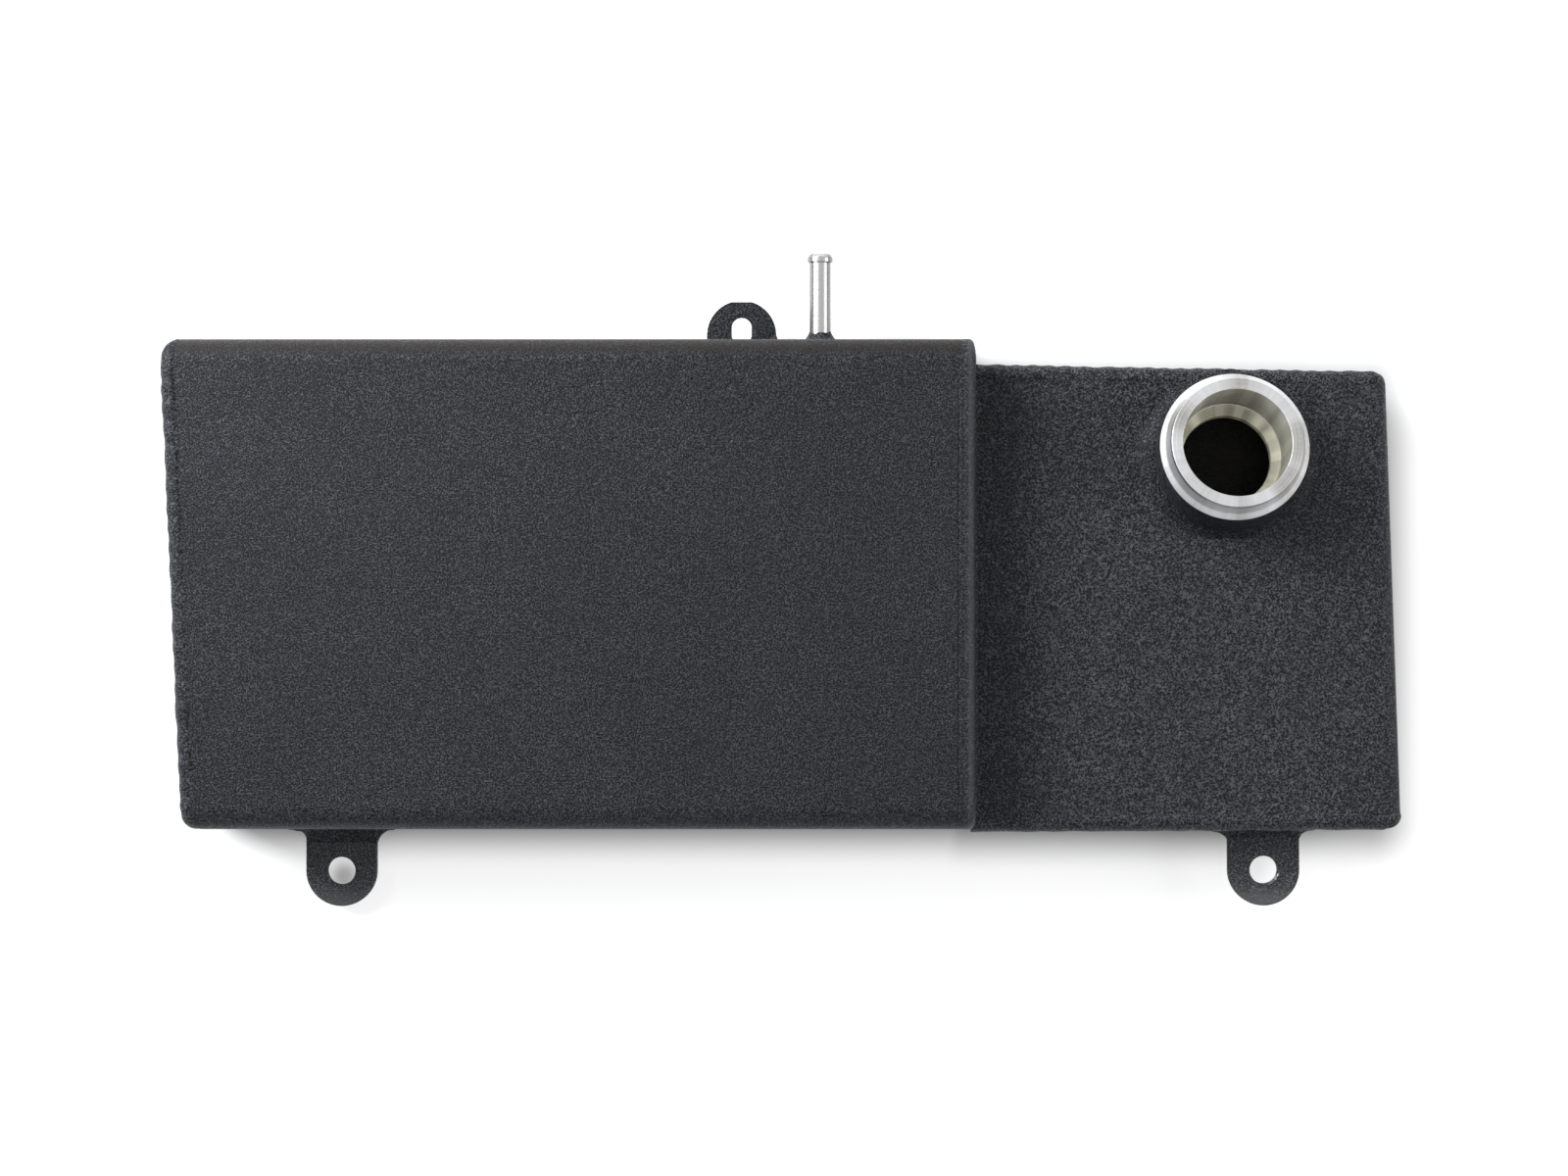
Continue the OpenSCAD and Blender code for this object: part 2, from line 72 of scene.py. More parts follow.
WHITE: Colour = (1.0, 1.0, 1.0, 1.0)
BLACK: Colour = (0.0, 0.0, 0.0, 1.0)
# painted dark brown reflection along the main shell's upper fold
FOLD_REFLECTION_BROWN: Colour = (0.020, 0.016, 0.013, 1.0)
# painted highlight on the rounded ends of the lower tabs
END_HIGHLIGHT_GREY: Colour = (0.22, 0.22, 0.228, 1.0)
# painted highlight along the step bead's crest
CREST_HIGHLIGHT_GREY: Colour = (0.115, 0.118, 0.128, 1.0)
# painted shade: near black on the inner face of the side chamber's back plate, for the dark inside of the
# tank
PAINTED_INSIDE_SHADE: Colour = (0.006, 0.0055, 0.005, 1.0)
BARE_METAL: Colour = (0.66, 0.66, 0.67, 1.0)
# painted dark reflection on a turned piece's sides
PAINTED_SIDE_REFLECTION: Colour = (0.16, 0.155, 0.15, 1.0)


class Slot(Enum):
    """Material slots of the record."""

    COAT = "coat"
    BARE = "bare"
    SHEET = "sheet"


class Wire:
    """An output socket of a material, with the arithmetic that its patterns use."""

    def __init__(self, graph: "Graph", socket: bpy.types.NodeSocket) -> None:
        """Wraps a socket.

        Args:
            graph: the material that the socket is in.
            socket: the output socket.
        """
        self.graph = graph
        self.socket = socket

    def _math(self, operation: str, *values: Number) -> "Wire":
        """Adds a Math node for an operation on values."""
        return self.graph.node("ShaderNodeMath", {"operation": operation}, dict(enumerate(values)))

    def __add__(self, other: Number) -> "Wire":
        """Sum."""
        return self._math("ADD", self, other)

    def __radd__(self, other: Number) -> "Wire":
        """Sum, reflected."""
        return self._math("ADD", other, self)

    def __sub__(self, other: Number) -> "Wire":
        """Difference."""
        return self._math("SUBTRACT", self, other)

    def __rsub__(self, other: Number) -> "Wire":
        """Difference, reflected."""
        return self._math("SUBTRACT", other, self)

    def __mul__(self, other: Number) -> "Wire":
        """Product."""
        return self._math("MULTIPLY", self, other)

    def __rmul__(self, other: Number) -> "Wire":
        """Product, reflected."""
        return self._math("MULTIPLY", other, self)

    def __truediv__(self, other: Number) -> "Wire":
        """Quotient."""
        return self._math("DIVIDE", self, other)

    def __pow__(self, other: Number) -> "Wire":
        """Power."""
        return self._math("POWER", self, other)

    def size(self) -> "Wire":
        """Value without its sign."""
        return self._math("ABSOLUTE", self)

    def least(self, other: Number) -> "Wire":
        """Smaller of two values."""
        return self._math("MINIMUM", self, other)

    def most(self, other: Number) -> "Wire":
        """Larger of two values."""
        return self._math("MAXIMUM", self, other)

    def across(self, other: "Wire") -> "Wire":
        """Length of a vector that has these two parts."""
        return (self ** 2 + other ** 2) ** 0.5

    def ease(self, low: float, high: float) -> "Wire":
        """Rises smoothly from 0 at low to 1 at high, and falls where low is above high.

        Args:
            low: value that gives 0.
            high: value that gives 1.

        Returns:
            The eased value.
        """
        settings = {"interpolation_type": "SMOOTHSTEP"}
        if low < high:
            return self.graph.node("ShaderNodeMapRange", settings, {0: self, 1: low, 2: high, 3: 0.0, 4: 1.0})
        return self.graph.node("ShaderNodeMapRange", settings, {0: self, 1: high, 2: low, 3: 1.0, 4: 0.0})


class Graph:
    """The node tree of a new material or world."""

    def __init__(self, name: str, world: bool = False) -> None:
        """Starts an empty tree.

        Args:
            name: the name of the material or world.
            world: whether it is a world.
        """
        self.kind = "World" if world else "Material"
        self.owner = (bpy.data.worlds if world else bpy.data.materials).new(name)
        self.owner.use_nodes = True
        self.tree = self.owner.node_tree
        self.tree.nodes.clear()

    def node(
        self,
        kind: str,
        settings: Optional[Dict[str, object]] = None,
        inputs: Optional[Dict[Union[int, str], object]] = None,
        output: Union[int, str] = 0,
    ) -> Wire:
        """Adds a node.

        Args:
            kind: the node's type.
            settings: its settings, which are set first.
            inputs: a value or a Wire for each socket, by name or number.
            output: the socket that is wanted.

        Returns:
            The wanted output.
        """
        made = self.tree.nodes.new(kind)
        for key, value in (settings or {}).items():
            setattr(made, key, value)
        for key, value in (inputs or {}).items():
            if isinstance(value, Wire):
                self.tree.links.new(value.socket, made.inputs[key])
            else:
                made.inputs[key].default_value = value
        return Wire(self, made.outputs[output])

    def place(self) -> Wire:
        """Place on the object, in millimetres."""
        spot = self.node("ShaderNodeTexCoord", output="Object")
        return self.node("ShaderNodeVectorMath", {"operation": "SCALE"}, {0: spot, "Scale": 1 / MM})

    def axes(self, place: Wire) -> Tuple[Wire, Wire, Wire]:
        """Splits a place into its three coordinates.

        Args:
            place: a vector.

        Returns:
            X, Y and Z.
        """
        split = self.node("ShaderNodeSeparateXYZ", inputs={0: place})
        outputs = split.socket.node.outputs
        return Wire(self, outputs[0]), Wire(self, outputs[1]), Wire(self, outputs[2])

    def grain(self, place: Wire, size: float, detail: float = 2.0, rough: float = 0.5) -> Wire:
        """Noise between 0 and 1.

        Args:
            place: where it is read, in millimetres.
            size: size of its lumps, in millimetres.
            detail: number of finer layers.
            rough: strength of each finer layer.

        Returns:
            The noise.
        """
        inputs = {"Vector": place, "Scale": 1 / size, "Detail": detail, "Roughness": rough}
        return self.node("ShaderNodeTexNoise", inputs=inputs)

    def ripple(self, along: Wire, size: float, detail: float = 2.0) -> Wire:
        """Noise between 0 and 1 that varies in one direction.

        Args:
            along: distance in that direction, in millimetres.
            size: size of its waves, in millimetres.
            detail: number of finer layers.

        Returns:
            The noise.
        """
        inputs = {"W": along, "Scale": 1 / size, "Detail": detail}
        return self.node("ShaderNodeTexNoise", {"noise_dimensions": "1D"}, inputs)

    def blend(self, factor: Number, low: Union[Colour, Wire], high: Union[Colour, Wire]) -> Wire:
        """Mixes two colours.

        Args:
            factor: 0 gives low and 1 gives high.
            low: a colour.
            high: a colour.

        Returns:
            The mixed colour.
        """
        inputs = {"Factor": factor, 6: low, 7: high}
        return self.node("ShaderNodeMix", {"data_type": "RGBA"}, inputs, 2)

    def bump(self, height: Wire, depth: float, under: Optional[Wire] = None) -> Wire:
        """Normal of a relief.

        Args:
            height: the relief, from 0 to 1.
            depth: its depth, in millimetres.
            under: the normal that it is added to.

        Returns:
            The normal.
        """
        inputs = {"Height": height, "Distance": depth * MM, "Strength": 1.0}
        if under is not None:
            inputs["Normal"] = under
        return self.node("ShaderNodeBump", inputs=inputs)

    def rays(self) -> Tuple[Wire, Wire]:
        """Tells the rays apart.

        Returns:
            1 for a ray from the camera, and 1 for a mirrored or bent ray.
        """
        camera = self.node("ShaderNodeLightPath", output="Is Camera Ray")
        outputs = camera.socket.node.outputs
        bent = Wire(self, outputs["Is Transmission Ray"])
        return camera, Wire(self, outputs["Is Glossy Ray"]).most(bent)

    def finish(self, shader: Wire) -> Union[bpy.types.Material, bpy.types.World]:
        """Joins a shader to the tree's output.

        Args:
            shader: the output of the shader node.

        Returns:
            The material or world.
        """
        made = self.tree.nodes.new(f"ShaderNodeOutput{self.kind}")
        self.tree.links.new(shader.socket, made.inputs["Surface"])
        return self.owner


@dataclass(frozen=True)
class WrinkleCoat:
    """Black wrinkle powder coat, with painted sheen on its wrinkles' crests and painted shade in their
    hollows. A mark whose place is None is left out.
    """

    name: str = "wrinkle_coat"
    # near black in the wrinkles' hollows and grey on their crests: painted shade and painted sheen
    low: Colour = (0.001, 0.0012, 0.0018, 1.0)
    high: Colour = (0.092, 0.098, 0.114, 1.0)
    wrinkle: float = 0.56
    wrinkle_depth: float = 0.3
    wrinkle_share: float = 0.45
    lump: float = 14.0
    lump_depth: float = 0.25
    cloud: float = 40.0
    cloud_share: float = 0.15
    roughness: float = 0.5
    gloss: float = 0.22
    pits: Optional[Tuple[float, float, float, float]] = None
    pit: float = 3.2
    pit_depth: float = 0.3
    groove_x: Optional[float] = None
    groove_y: Point = (92.0, 20.0)
    groove_depth: float = 0.6
    groove_half: float = 0.75
    waver: float = 18.0
    waver_reach: float = 0.8
    chip: Optional[Tuple[float, float, float]] = None
    chip_size: float = 0.9
    # painted shade on faces above this height, for the dark inside of the tank; it fades in over the next
    # distance
    shade_inside_z: Optional[float] = None
    shade_inside_fade: float = 0.5
    # painted dark reflection along the upper fold: the rows in Y and heights in Z where it lies, and its
    # share
    fold_reflection_band: Optional[Point] = None
    fold_reflection_z: Point = (52.0, 60.0)
    fold_reflection_share: float = 0.7
    # painted highlight towards a tab's rounded end: the rows in Y where it rises, and its share
    painted_end_highlight: Optional[Point] = None
    end_highlight_share: float = 0.75
    # painted highlight along a bead's crest: its place in X, half width and share
    highlight_crest_x: Optional[float] = None
    highlight_crest_half: float = 1.9
    highlight_crest_share: float = 0.45

    def relief(self, graph: Graph, place: Wire) -> Tuple[Wire, Wire]:
        """Fine wrinkles of the coat over broad lumps.

        Args:
            graph: the material.
            place: place on the object.

        Returns:
            The wrinkles' height from 0 to 1, and their normal.
        """
        fine = graph.grain(place, self.wrinkle, 1.0, 0.6).ease(0.42, 0.62)
        coarse = graph.grain(place, self.wrinkle * 3.2, 1.0).ease(0.3, 0.7)
        height = fine * (coarse * self.wrinkle_share + (1 - self.wrinkle_share))
        normal = graph.bump(graph.grain(place, self.lump), self.lump_depth)
        return height, graph.bump(height, self.wrinkle_depth, normal)

    def dented(self, graph: Graph, place: Wire, normal: Wire) -> Wire:
        """Adds the pits of the sheet and the undercut along a bead's toe.

        Args:
            graph: the material.
            place: place on the object.
            normal: the coat's normal.

        Returns:
            The normal with both.
        """
        x, y, _ = graph.axes(place)
        if self.pits:
            centre_x, centre_y, reach_x, reach_y = self.pits
            area = (((x - centre_x) / reach_x) ** 2 + ((y - centre_y) / reach_y) ** 2).ease(1.0, 0.2)
            dents = graph.grain(place, self.pit, 1.5).ease(0.56, 0.74)
            normal = graph.bump(1 - dents * area, self.pit_depth, normal)
        if self.groove_x is not None:
            waver = (graph.ripple(y, self.waver) - 0.5) * self.waver_reach
            gap = (x - self.groove_x + waver).size().ease(self.groove_half, 0.1)
            normal = graph.bump(1 - gap * y.ease(*self.groove_y), self.groove_depth, normal)
        return normal

    def marked(self, graph: Graph, place: Wire, colour: Wire) -> Wire:
        """Mixes the coat's painted reflection, painted highlights and painted shade into its colour.

        Args:
            graph: the material.
            place: place on the object.
            colour: the coat's colour.

        Returns:
            The colour with its painted reflection, highlights and shade.
        """
        x, y, z = graph.axes(place)
        # painted dark brown reflection over the upper fold
        if self.fold_reflection_band:
            band = y.ease(*self.fold_reflection_band) * z.ease(*self.fold_reflection_z)
            colour = graph.blend(band * self.fold_reflection_share, colour, FOLD_REFLECTION_BROWN)
        # painted highlight towards the tab's end
        if self.painted_end_highlight:
            colour = graph.blend(y.ease(*self.painted_end_highlight) * self.end_highlight_share, colour, END_HIGHLIGHT_GREY)
        # painted highlight along the bead's crest
        if self.highlight_crest_x is not None:
            crest = (x - self.highlight_crest_x).size().ease(self.highlight_crest_half, 0.4)
            colour = graph.blend(crest * self.highlight_crest_share, colour, CREST_HIGHLIGHT_GREY)
        # painted shade: faces inside the tank turn near black
        if self.shade_inside_z is not None:
            inner = z.ease(self.shade_inside_z, self.shade_inside_z + self.shade_inside_fade)
            colour = graph.blend(inner, colour, PAINTED_INSIDE_SHADE)
        return colour

    def chipped(self, graph: Graph, place: Wire) -> Wire:
        """Chips round a bolt hole, where the coat has come off its lower right edge.

        Args:
            graph: the material.
            place: place on the object.

        Returns:
            1 where the metal is bare.
        """
        hole_x, hole_y, hole_r = self.chip
        x, y, _ = graph.axes(place)
        away_x, away_y = x - hole_x, y - hole_y
        ring = away_x.across(away_y).ease(hole_r + 0.75, hole_r + 0.45)
        low_right = (away_x * 0.74 - away_y * 0.66).ease(4.6, 5.3)
        return ring * low_right * graph.grain(place, self.chip_size, 1.0).ease(0.42, 0.5)

    def build(self) -> bpy.types.Material:
        """Makes the material.

        Returns:
            The material.
        """
        graph = Graph(self.name)
        place = graph.place()
        height, normal = self.relief(graph, place)
        # the colour follows the wrinkles: painted sheen on their crests, painted shade in their hollows; the
        # broad cloud over it is random tone
        cloud = graph.grain(place, self.cloud).ease(0.3, 0.7)
        tone = height * (cloud * self.cloud_share + (1 - self.cloud_share))
        colour = self.marked(graph, place, graph.blend(tone, self.low, self.high))
        roughness = (1.12 - height * 0.3) * self.roughness
        metal: Number = 0.0
        if self.chip:
            metal = self.chipped(graph, place)
            colour = graph.blend(metal, colour, BARE_METAL)
            roughness = roughness * (1 - metal * 0.4)
        inputs = {
            "Base Color": colour,
            "Roughness": roughness,
            "Normal": self.dented(graph, place, normal),
            "Metallic": metal,
            "Specular IOR Level": self.gloss,
        }
        return graph.finish(graph.node("ShaderNodeBsdfPrincipled", inputs=inputs))


@dataclass(frozen=True)
class TurnedAluminium:
    """Bare aluminium from the lathe, with fine grooves, and with painted reflection in its colour: broad
    lighter and darker sectors round its axis, a lighter, warmer bore that is darker towards its +Y side, and
    darker ±X sides where asked.
    """

    name: str
    centre: Tuple[float, float, float]
    turn: Tuple[float, float, float] = (0.0, 0.0, 0.0)
    groove: float = 0.22
    groove_depth: float = 0.012
    band: float = 7.0
    band_depth: float = 2.5
    roughness: float = 0.24
    outer_r: float = 1000.0
    outer_rough: float = 0.7
    inner_r: float = 0.0
    inner_rough: float = 1.2
    edge: float = 0.5
    sector: float = 0.6
    sector_share: float = 0.8
    smudge: float = 7.0
    smudge_share: float = 0.15
    colour: Colour = (0.80, 0.81, 0.825, 1.0)
    # colour of the painted darker sectors: painted reflection
    shaded: Colour = (0.38, 0.365, 0.34, 1.0)
    # the bore's painted lighter, warmer reflection, then its painted darker reflection
    bore: Colour = (0.96, 0.94, 0.80, 1.0)
    bore_share: float = 0.7
    bore_shaded: Colour = (0.20, 0.18, 0.13, 1.0)
    bore_dark: float = 0.8
    # share of the painted dark reflection on the ±X sides
    sides: float = 0.0

    def build(self) -> bpy.types.Material:
        """Makes the material.

        Returns:
            The material.
        """
        graph = Graph(self.name)
        place = graph.place()
        inputs = {"Vector": place, "Location": self.centre, "Rotation": self.turn}
        lathe = graph.node("ShaderNodeMapping", {"vector_type": "TEXTURE"}, inputs)
        x, y, z = graph.axes(lathe)
        radius = x.across(y)
        along = radius + z * 1.31
        grooves = graph.ripple(along, self.groove, 1.0)
        bands = graph.ripple(along, self.groove * self.band)
        smudge = graph.grain(place, self.smudge, 3.0)
        around = graph.node("ShaderNodeVectorMath", {"operation": "MULTIPLY"}, {0: lathe, 1: (1.0, 1.0, 0.0)})
        around = graph.node("ShaderNodeVectorMath", {"operation": "NORMALIZE"}, {0: around})
        # painted reflection: broad sectors and fine streaks round the axis; the smudge added to them is
        # random tone
        sectors = graph.grain(around, self.sector, 1.0).ease(0.36, 0.64)
        streaks = graph.grain(around, self.sector * 0.11).ease(0.3, 0.7)
        normal = graph.bump(grooves, self.groove_depth)
        normal = graph.bump(bands, self.groove_depth * self.band_depth, normal)
        shade = sectors * self.sector_share + streaks * (1 - self.sector_share)
        shade = shade * (bands * 0.5 + 0.5) + smudge.ease(0.4, 0.75) * self.smudge_share
        colour = graph.blend(shade, self.colour, self.shaded)
        inside = radius.ease(self.inner_r, self.inner_r - self.edge)
        outside = radius.ease(self.outer_r, self.outer_r + self.edge)
        right, up, _ = graph.axes(around)
        # painted darker reflection in the bore: towards +Y, and in patches
        facing = (right * 0.1 + up).ease(0.80, 0.985)
        wall = graph.grain(around, self.sector * 0.55).ease(0.42, 0.62)
        dark = (facing * 0.5 + wall * 0.5).least(self.bore_dark) * (bands * 0.5 + 0.6)
        # the bore is painted lighter and warmer, then darker: painted reflection
        colour = graph.blend(inside * self.bore_share, colour, self.bore)
        colour = graph.blend(inside * dark, colour, self.bore_shaded)
        # painted dark reflection on the ±X sides
        colour = graph.blend(right.size().ease(0.54, 0.66) * self.sides, colour, PAINTED_SIDE_REFLECTION)
        rough = outside * self.outer_rough + inside * self.inner_rough
        roughness = self.roughness * (0.75 + bands * 0.35 + smudge * 0.25 + rough)
        inputs = {"Base Color": colour, "Roughness": roughness, "Normal": normal, "Metallic": 1.0}
        return graph.finish(graph.node("ShaderNodeBsdfPrincipled", inputs=inputs))


@dataclass(frozen=True)
class MillSheet:
    """Rolled aluminium sheet as it comes from the mill, with streaks along Y."""

    name: str = "mill_sheet"
    colour: Colour = (0.62, 0.63, 0.64, 1.0)
    streaked: Colour = (0.54, 0.55, 0.56, 1.0)
    stretch: Tuple[float, float, float] = (1.0, 0.06, 1.0)
    streak: float = 0.5
    streak_depth: float = 0.02

    def build(self) -> bpy.types.Material:
        """Makes the material.

        Returns:
            The material.
        """
        graph = Graph(self.name)
        stretched = {0: graph.place(), 1: self.stretch}
        place = graph.node("ShaderNodeVectorMath", {"operation": "MULTIPLY"}, stretched)
        streaks = graph.grain(place, self.streak)
        inputs = {
            "Base Color": graph.blend(streaks, self.colour, self.streaked),
            "Roughness": streaks * 0.2 + 0.3,
            "Normal": graph.bump(streaks, self.streak_depth),
            "Metallic": 1.0,
        }
        return graph.finish(graph.node("ShaderNodeBsdfPrincipled", inputs=inputs))


@dataclass(frozen=True)
class StudioWhite:
    """White sheet that keeps the object's shadow and shows white where it is lit, with painted shadow: its
    glow is lowered round given boxes and in round spots.
    """

    name: str = "studio_white"
    colour: Colour = (0.8, 0.8, 0.8, 1.0)
    mottled: Colour = (0.788, 0.788, 0.788, 1.0)
    mottle: float = 60.0
    lift: float = 0.75
    # painted shadow: the glow falls to this near the boxes, rises over the halo's width, and the boxes are
    # set off by the shift
    shadow_lift: float = 0.03
    shadow_halo: float = 21.5
    shift: Point = (-0.5, -1.8)
    far: float = 1000.0
    # boxes and round spots, with their strengths, where painted shadow is laid
    shadow_boxes: Tuple[Tuple[float, float, float, float], ...] = ()
    shadow_spots: Tuple[Tuple[float, float, float], ...] = ()
    shadow_spot_r: float = 9.0
    shadow_spot_core: float = 1.0

    def build(self) -> bpy.types.Material:
        """Makes the material.

        Returns:
            The material.
        """
        graph = Graph(self.name)
        camera, mirrored = graph.rays()
        place = graph.place()
        colour = graph.blend(graph.grain(place, self.mottle), self.colour, self.mottled)
        matt = graph.node("ShaderNodeBsdfDiffuse", inputs={"Color": colour})
        x, y, _ = graph.axes(place)
        moved_x, moved_y = x - self.shift[0], y - self.shift[1]
        # painted shadow: the glow is lowered near the boxes and in the spots
        clear: Number = self.far
        for left, low, right, high in self.shadow_boxes:
            beside = ((moved_x - (left + right) / 2).size() - (right - left) / 2).most(0.0)
            above = ((moved_y - (low + high) / 2).size() - (high - low) / 2).most(0.0)
            clear = beside.across(above).least(clear)
        strength = clear.ease(0.0, self.shadow_halo) * (self.lift - self.shadow_lift) + self.shadow_lift
        for spot_x, spot_y, dim in self.shadow_spots:
            shadow = (x - spot_x).across(y - spot_y).ease(self.shadow_spot_r, self.shadow_spot_core)
            strength = strength * (1 - shadow * dim)
        inputs = {"Color": graph.blend(strength, BLACK, WHITE), "Strength": camera + mirrored}
        glow = graph.node("ShaderNodeEmission", inputs=inputs)
        return graph.finish(graph.node("ShaderNodeAddShader", inputs={0: matt, 1: glow}))


@dataclass(frozen=True)
class Station:
    """A place along a weld: a corner, and the two directions of the bead's section."""

    point: Vector
    across: Vector
    out: Vector
    run: float

    def spot(self, across: float, out: float) -> Vector:
        """Point of the section, given its two distances from the corner."""
        return self.point + self.across * across + self.out * out


Section = Callable[[Station], List[Point]]


def bead_height(run: float, seed: float, pitch: float) -> float:
    """Height of a hand-laid bead along its run.

    Args:
        run: distance along the bead.
        seed: number that makes one bead different from another.
        pitch: spacing of its ripples.

    Returns:
        A height from about -1 to 1.
    """
    drift = 1.4 * math.sin(run * 0.13 + seed)
    ripple = math.sin(TAU * run / pitch + drift)
    sway = noise.noise(Vector((run / 11, seed, 0.5)))
    return 0.5 * ripple + 1.1 * sway


def with_runs(places: Sequence[Place]) -> List[Station]:
    """Stations of a path, with the distance along it.

    Args:
        places: corner, across and out for each place.

    Returns:
        The stations.
    """
    run = 0.0
    stations: List[Station] = []
    for point, across, out in places:
        if stations:
            run += (point - stations[-1].point).length
        stations.append(Station(point, across.normalized(), out.normalized(), run))
    return stations


def swept(stations: Sequence[Station], section: Section, closed: bool = False) -> bmesh.types.BMesh:
    """Extrudes a section from station to station.

    Args:
        stations: where the section stands. A closed path ends where it starts.
        section: the section's outline at a station.
        closed: whether the path is a ring.

    Returns:
        The solid.
    """
    bm = bmesh.new()
    ring = [bm.verts.new(stations[0].spot(*p)) for p in section(stations[0])]
    edges = [bm.edges.new((v, ring[(i + 1) % len(ring)])) for i, v in enumerate(ring)]
    for station in stations[1:]:
        grown = bmesh.ops.extrude_edge_only(bm, edges=edges)["geom"]
        fresh = {g for g in grown if isinstance(g, bmesh.types.BMVert)}
        ring = [next(e.other_vert(v) for e in v.link_edges if e.other_vert(v) in fresh) for v in ring]
        edges = [bm.edges.get((v, ring[(i + 1) % len(ring)])) for i, v in enumerate(ring)]
        for vert, p in zip(ring, section(station)):
            vert.co = station.spot(*p)
    if closed:
        bmesh.ops.remove_doubles(bm, verts=bm.verts, dist=WELD_GAP)
    else:
        bmesh.ops.holes_fill(bm, edges=bm.edges, sides=0)
    return bm


def turned(outline: Sequence[Point], steps: int, place: Matrix) -> bmesh.types.BMesh:
    """Spins a closed outline of radius and height round the Z axis, and puts it in place.

    Args:
        outline: the half section.
        steps: number of steps in the full turn.
        place: where the solid goes.

    Returns:
        The solid.
    """
    bm = bmesh.new()
    verts = [bm.verts.new((r, 0.0, z)) for r, z in outline]
    edges = [bm.edges.new((v, verts[(i + 1) % len(verts)])) for i, v in enumerate(verts)]
    bmesh.ops.spin(
        bm,
        geom=verts + edges,
        cent=(0, 0, 0),
        axis=(0, 0, 1),
        dvec=(0, 0, 0),
        angle=TAU,
        steps=steps,
        use_merge=True,
        use_normal_flip=False,
        use_duplicate=False,
    )
    bmesh.ops.remove_doubles(bm, verts=bm.verts, dist=WELD_GAP)
    bmesh.ops.transform(bm, matrix=place, verts=bm.verts)
    return bm


def rounded(outline: Sequence[Tuple[float, float, float]], segments: int = 4) -> List[Point]:
    """Rounds the corners of a closed outline.

    Args:
        outline: points with the radius of each corner.
        segments: number of segments in a round.

    Returns:
        The outline with its rounds as points.
    """
    made: List[Point] = []
    count = len(outline)
    for i, (x, y, radius) in enumerate(outline):
        corner = Vector((x, y))
        if radius <= 0:
            made.append((x, y))
            continue
        back = (Vector(outline[i - 1][:2]) - corner).normalized()
        ahead = (Vector(outline[(i + 1) % count][:2]) - corner).normalized()
        half = back.angle(ahead) / 2
        leg = radius / math.tan(half)
        start, end = corner + back * leg, corner + ahead * leg
        for k in range(segments + 1):
            t = k / segments
            bent = start * (1 - t) ** 2 + corner * 2 * t * (1 - t) + end * t ** 2
            made.append((bent.x, bent.y))
    return made


def copied(node: str) -> bmesh.types.BMesh:
    """Merged copy of a CAD node.

    Args:
        node: the node's name.

    Returns:
        The copy, in millimetres.
    """
    bm = bmesh.new()
    bm.from_mesh(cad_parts[node].data)
    bmesh.ops.scale(bm, vec=(1 / MM,) * 3, verts=bm.verts)
    bmesh.ops.remove_doubles(bm, verts=bm.verts, dist=COPY_GAP)
    bmesh.ops.dissolve_limit(bm, angle_limit=FLAT, verts=bm.verts, edges=bm.edges)
    return bm


def softened(node: str, width: float, segments: int) -> bmesh.types.BMesh:
    """Copy of a CAD node with its sharp edges rounded by the coat.

    Args:
        node: the node's name.
        width: width of the rounding, in millimetres.
        segments: number of segments in the rounding.

    Returns:
        The copy, in millimetres.
    """
    bm = copied(node)
    sharp = [e for e in bm.edges if e.is_manifold and e.calc_face_angle() > CORNER]
    bmesh.ops.bevel(
        bm,
        geom=sharp,
        offset=width,
        offset_type="OFFSET",
        segments=segments,
        profile=0.5,
        affect="EDGES",
        material=-1,
        clamp_overlap=True,
    )
    return bm


def finished(
    bm: bmesh.types.BMesh,
    name: str,
    material: bpy.types.Material,
    nodes: Iterable[str],
    sharp: float = 38.0,
) -> None:
    """Makes an object of a mesh, dresses it and puts it on the tank.

    Args:
        bm: the mesh, in millimetres.
        name: the object's name.
        material: the finish.
        nodes: the CAD nodes that it stands for.
        sharp: angle between faces above which an edge is drawn sharp, in degrees.
    """
    bmesh.ops.scale(bm, vec=(MM, MM, MM), verts=bm.verts)
    bmesh.ops.recalc_face_normals(bm, faces=bm.faces)
    for face in bm.faces:
        face.smooth = True
    for edge in bm.edges:
        edge.smooth = not edge.is_manifold or edge.calc_face_angle() < math.radians(sharp)
    mesh = bpy.data.meshes.new(name)
    bm.to_mesh(mesh)
    bm.free()
    mesh.materials.append(material)
    made = bpy.data.objects.new(name, mesh)
    bpy.context.scene.collection.objects.link(made)
    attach(made, "root")
    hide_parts(*nodes)
    log.info("piece %s: %d faces", name, len(mesh.polygons))


def laid(bm: bmesh.types.BMesh, name: str, coat: bpy.types.Material) -> None:
    """Makes the piece of a weld.

    Args:
        bm: the bead, in millimetres.
        name: the weld's name, without the word weld.
        coat: the finish.
    """
    finished(bm, f"{name}_bead", coat, [f"{name}_weld"])


def dressed(node: str, material: bpy.types.Material) -> None:
    """Gives a CAD node its finish.

    Args:
        node: the node's name.
        material: the finish.
    """
    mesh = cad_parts[node].data
    mesh.materials.clear()
    mesh.materials.append(material)
    log.info("node %s: %s", node, material.name)


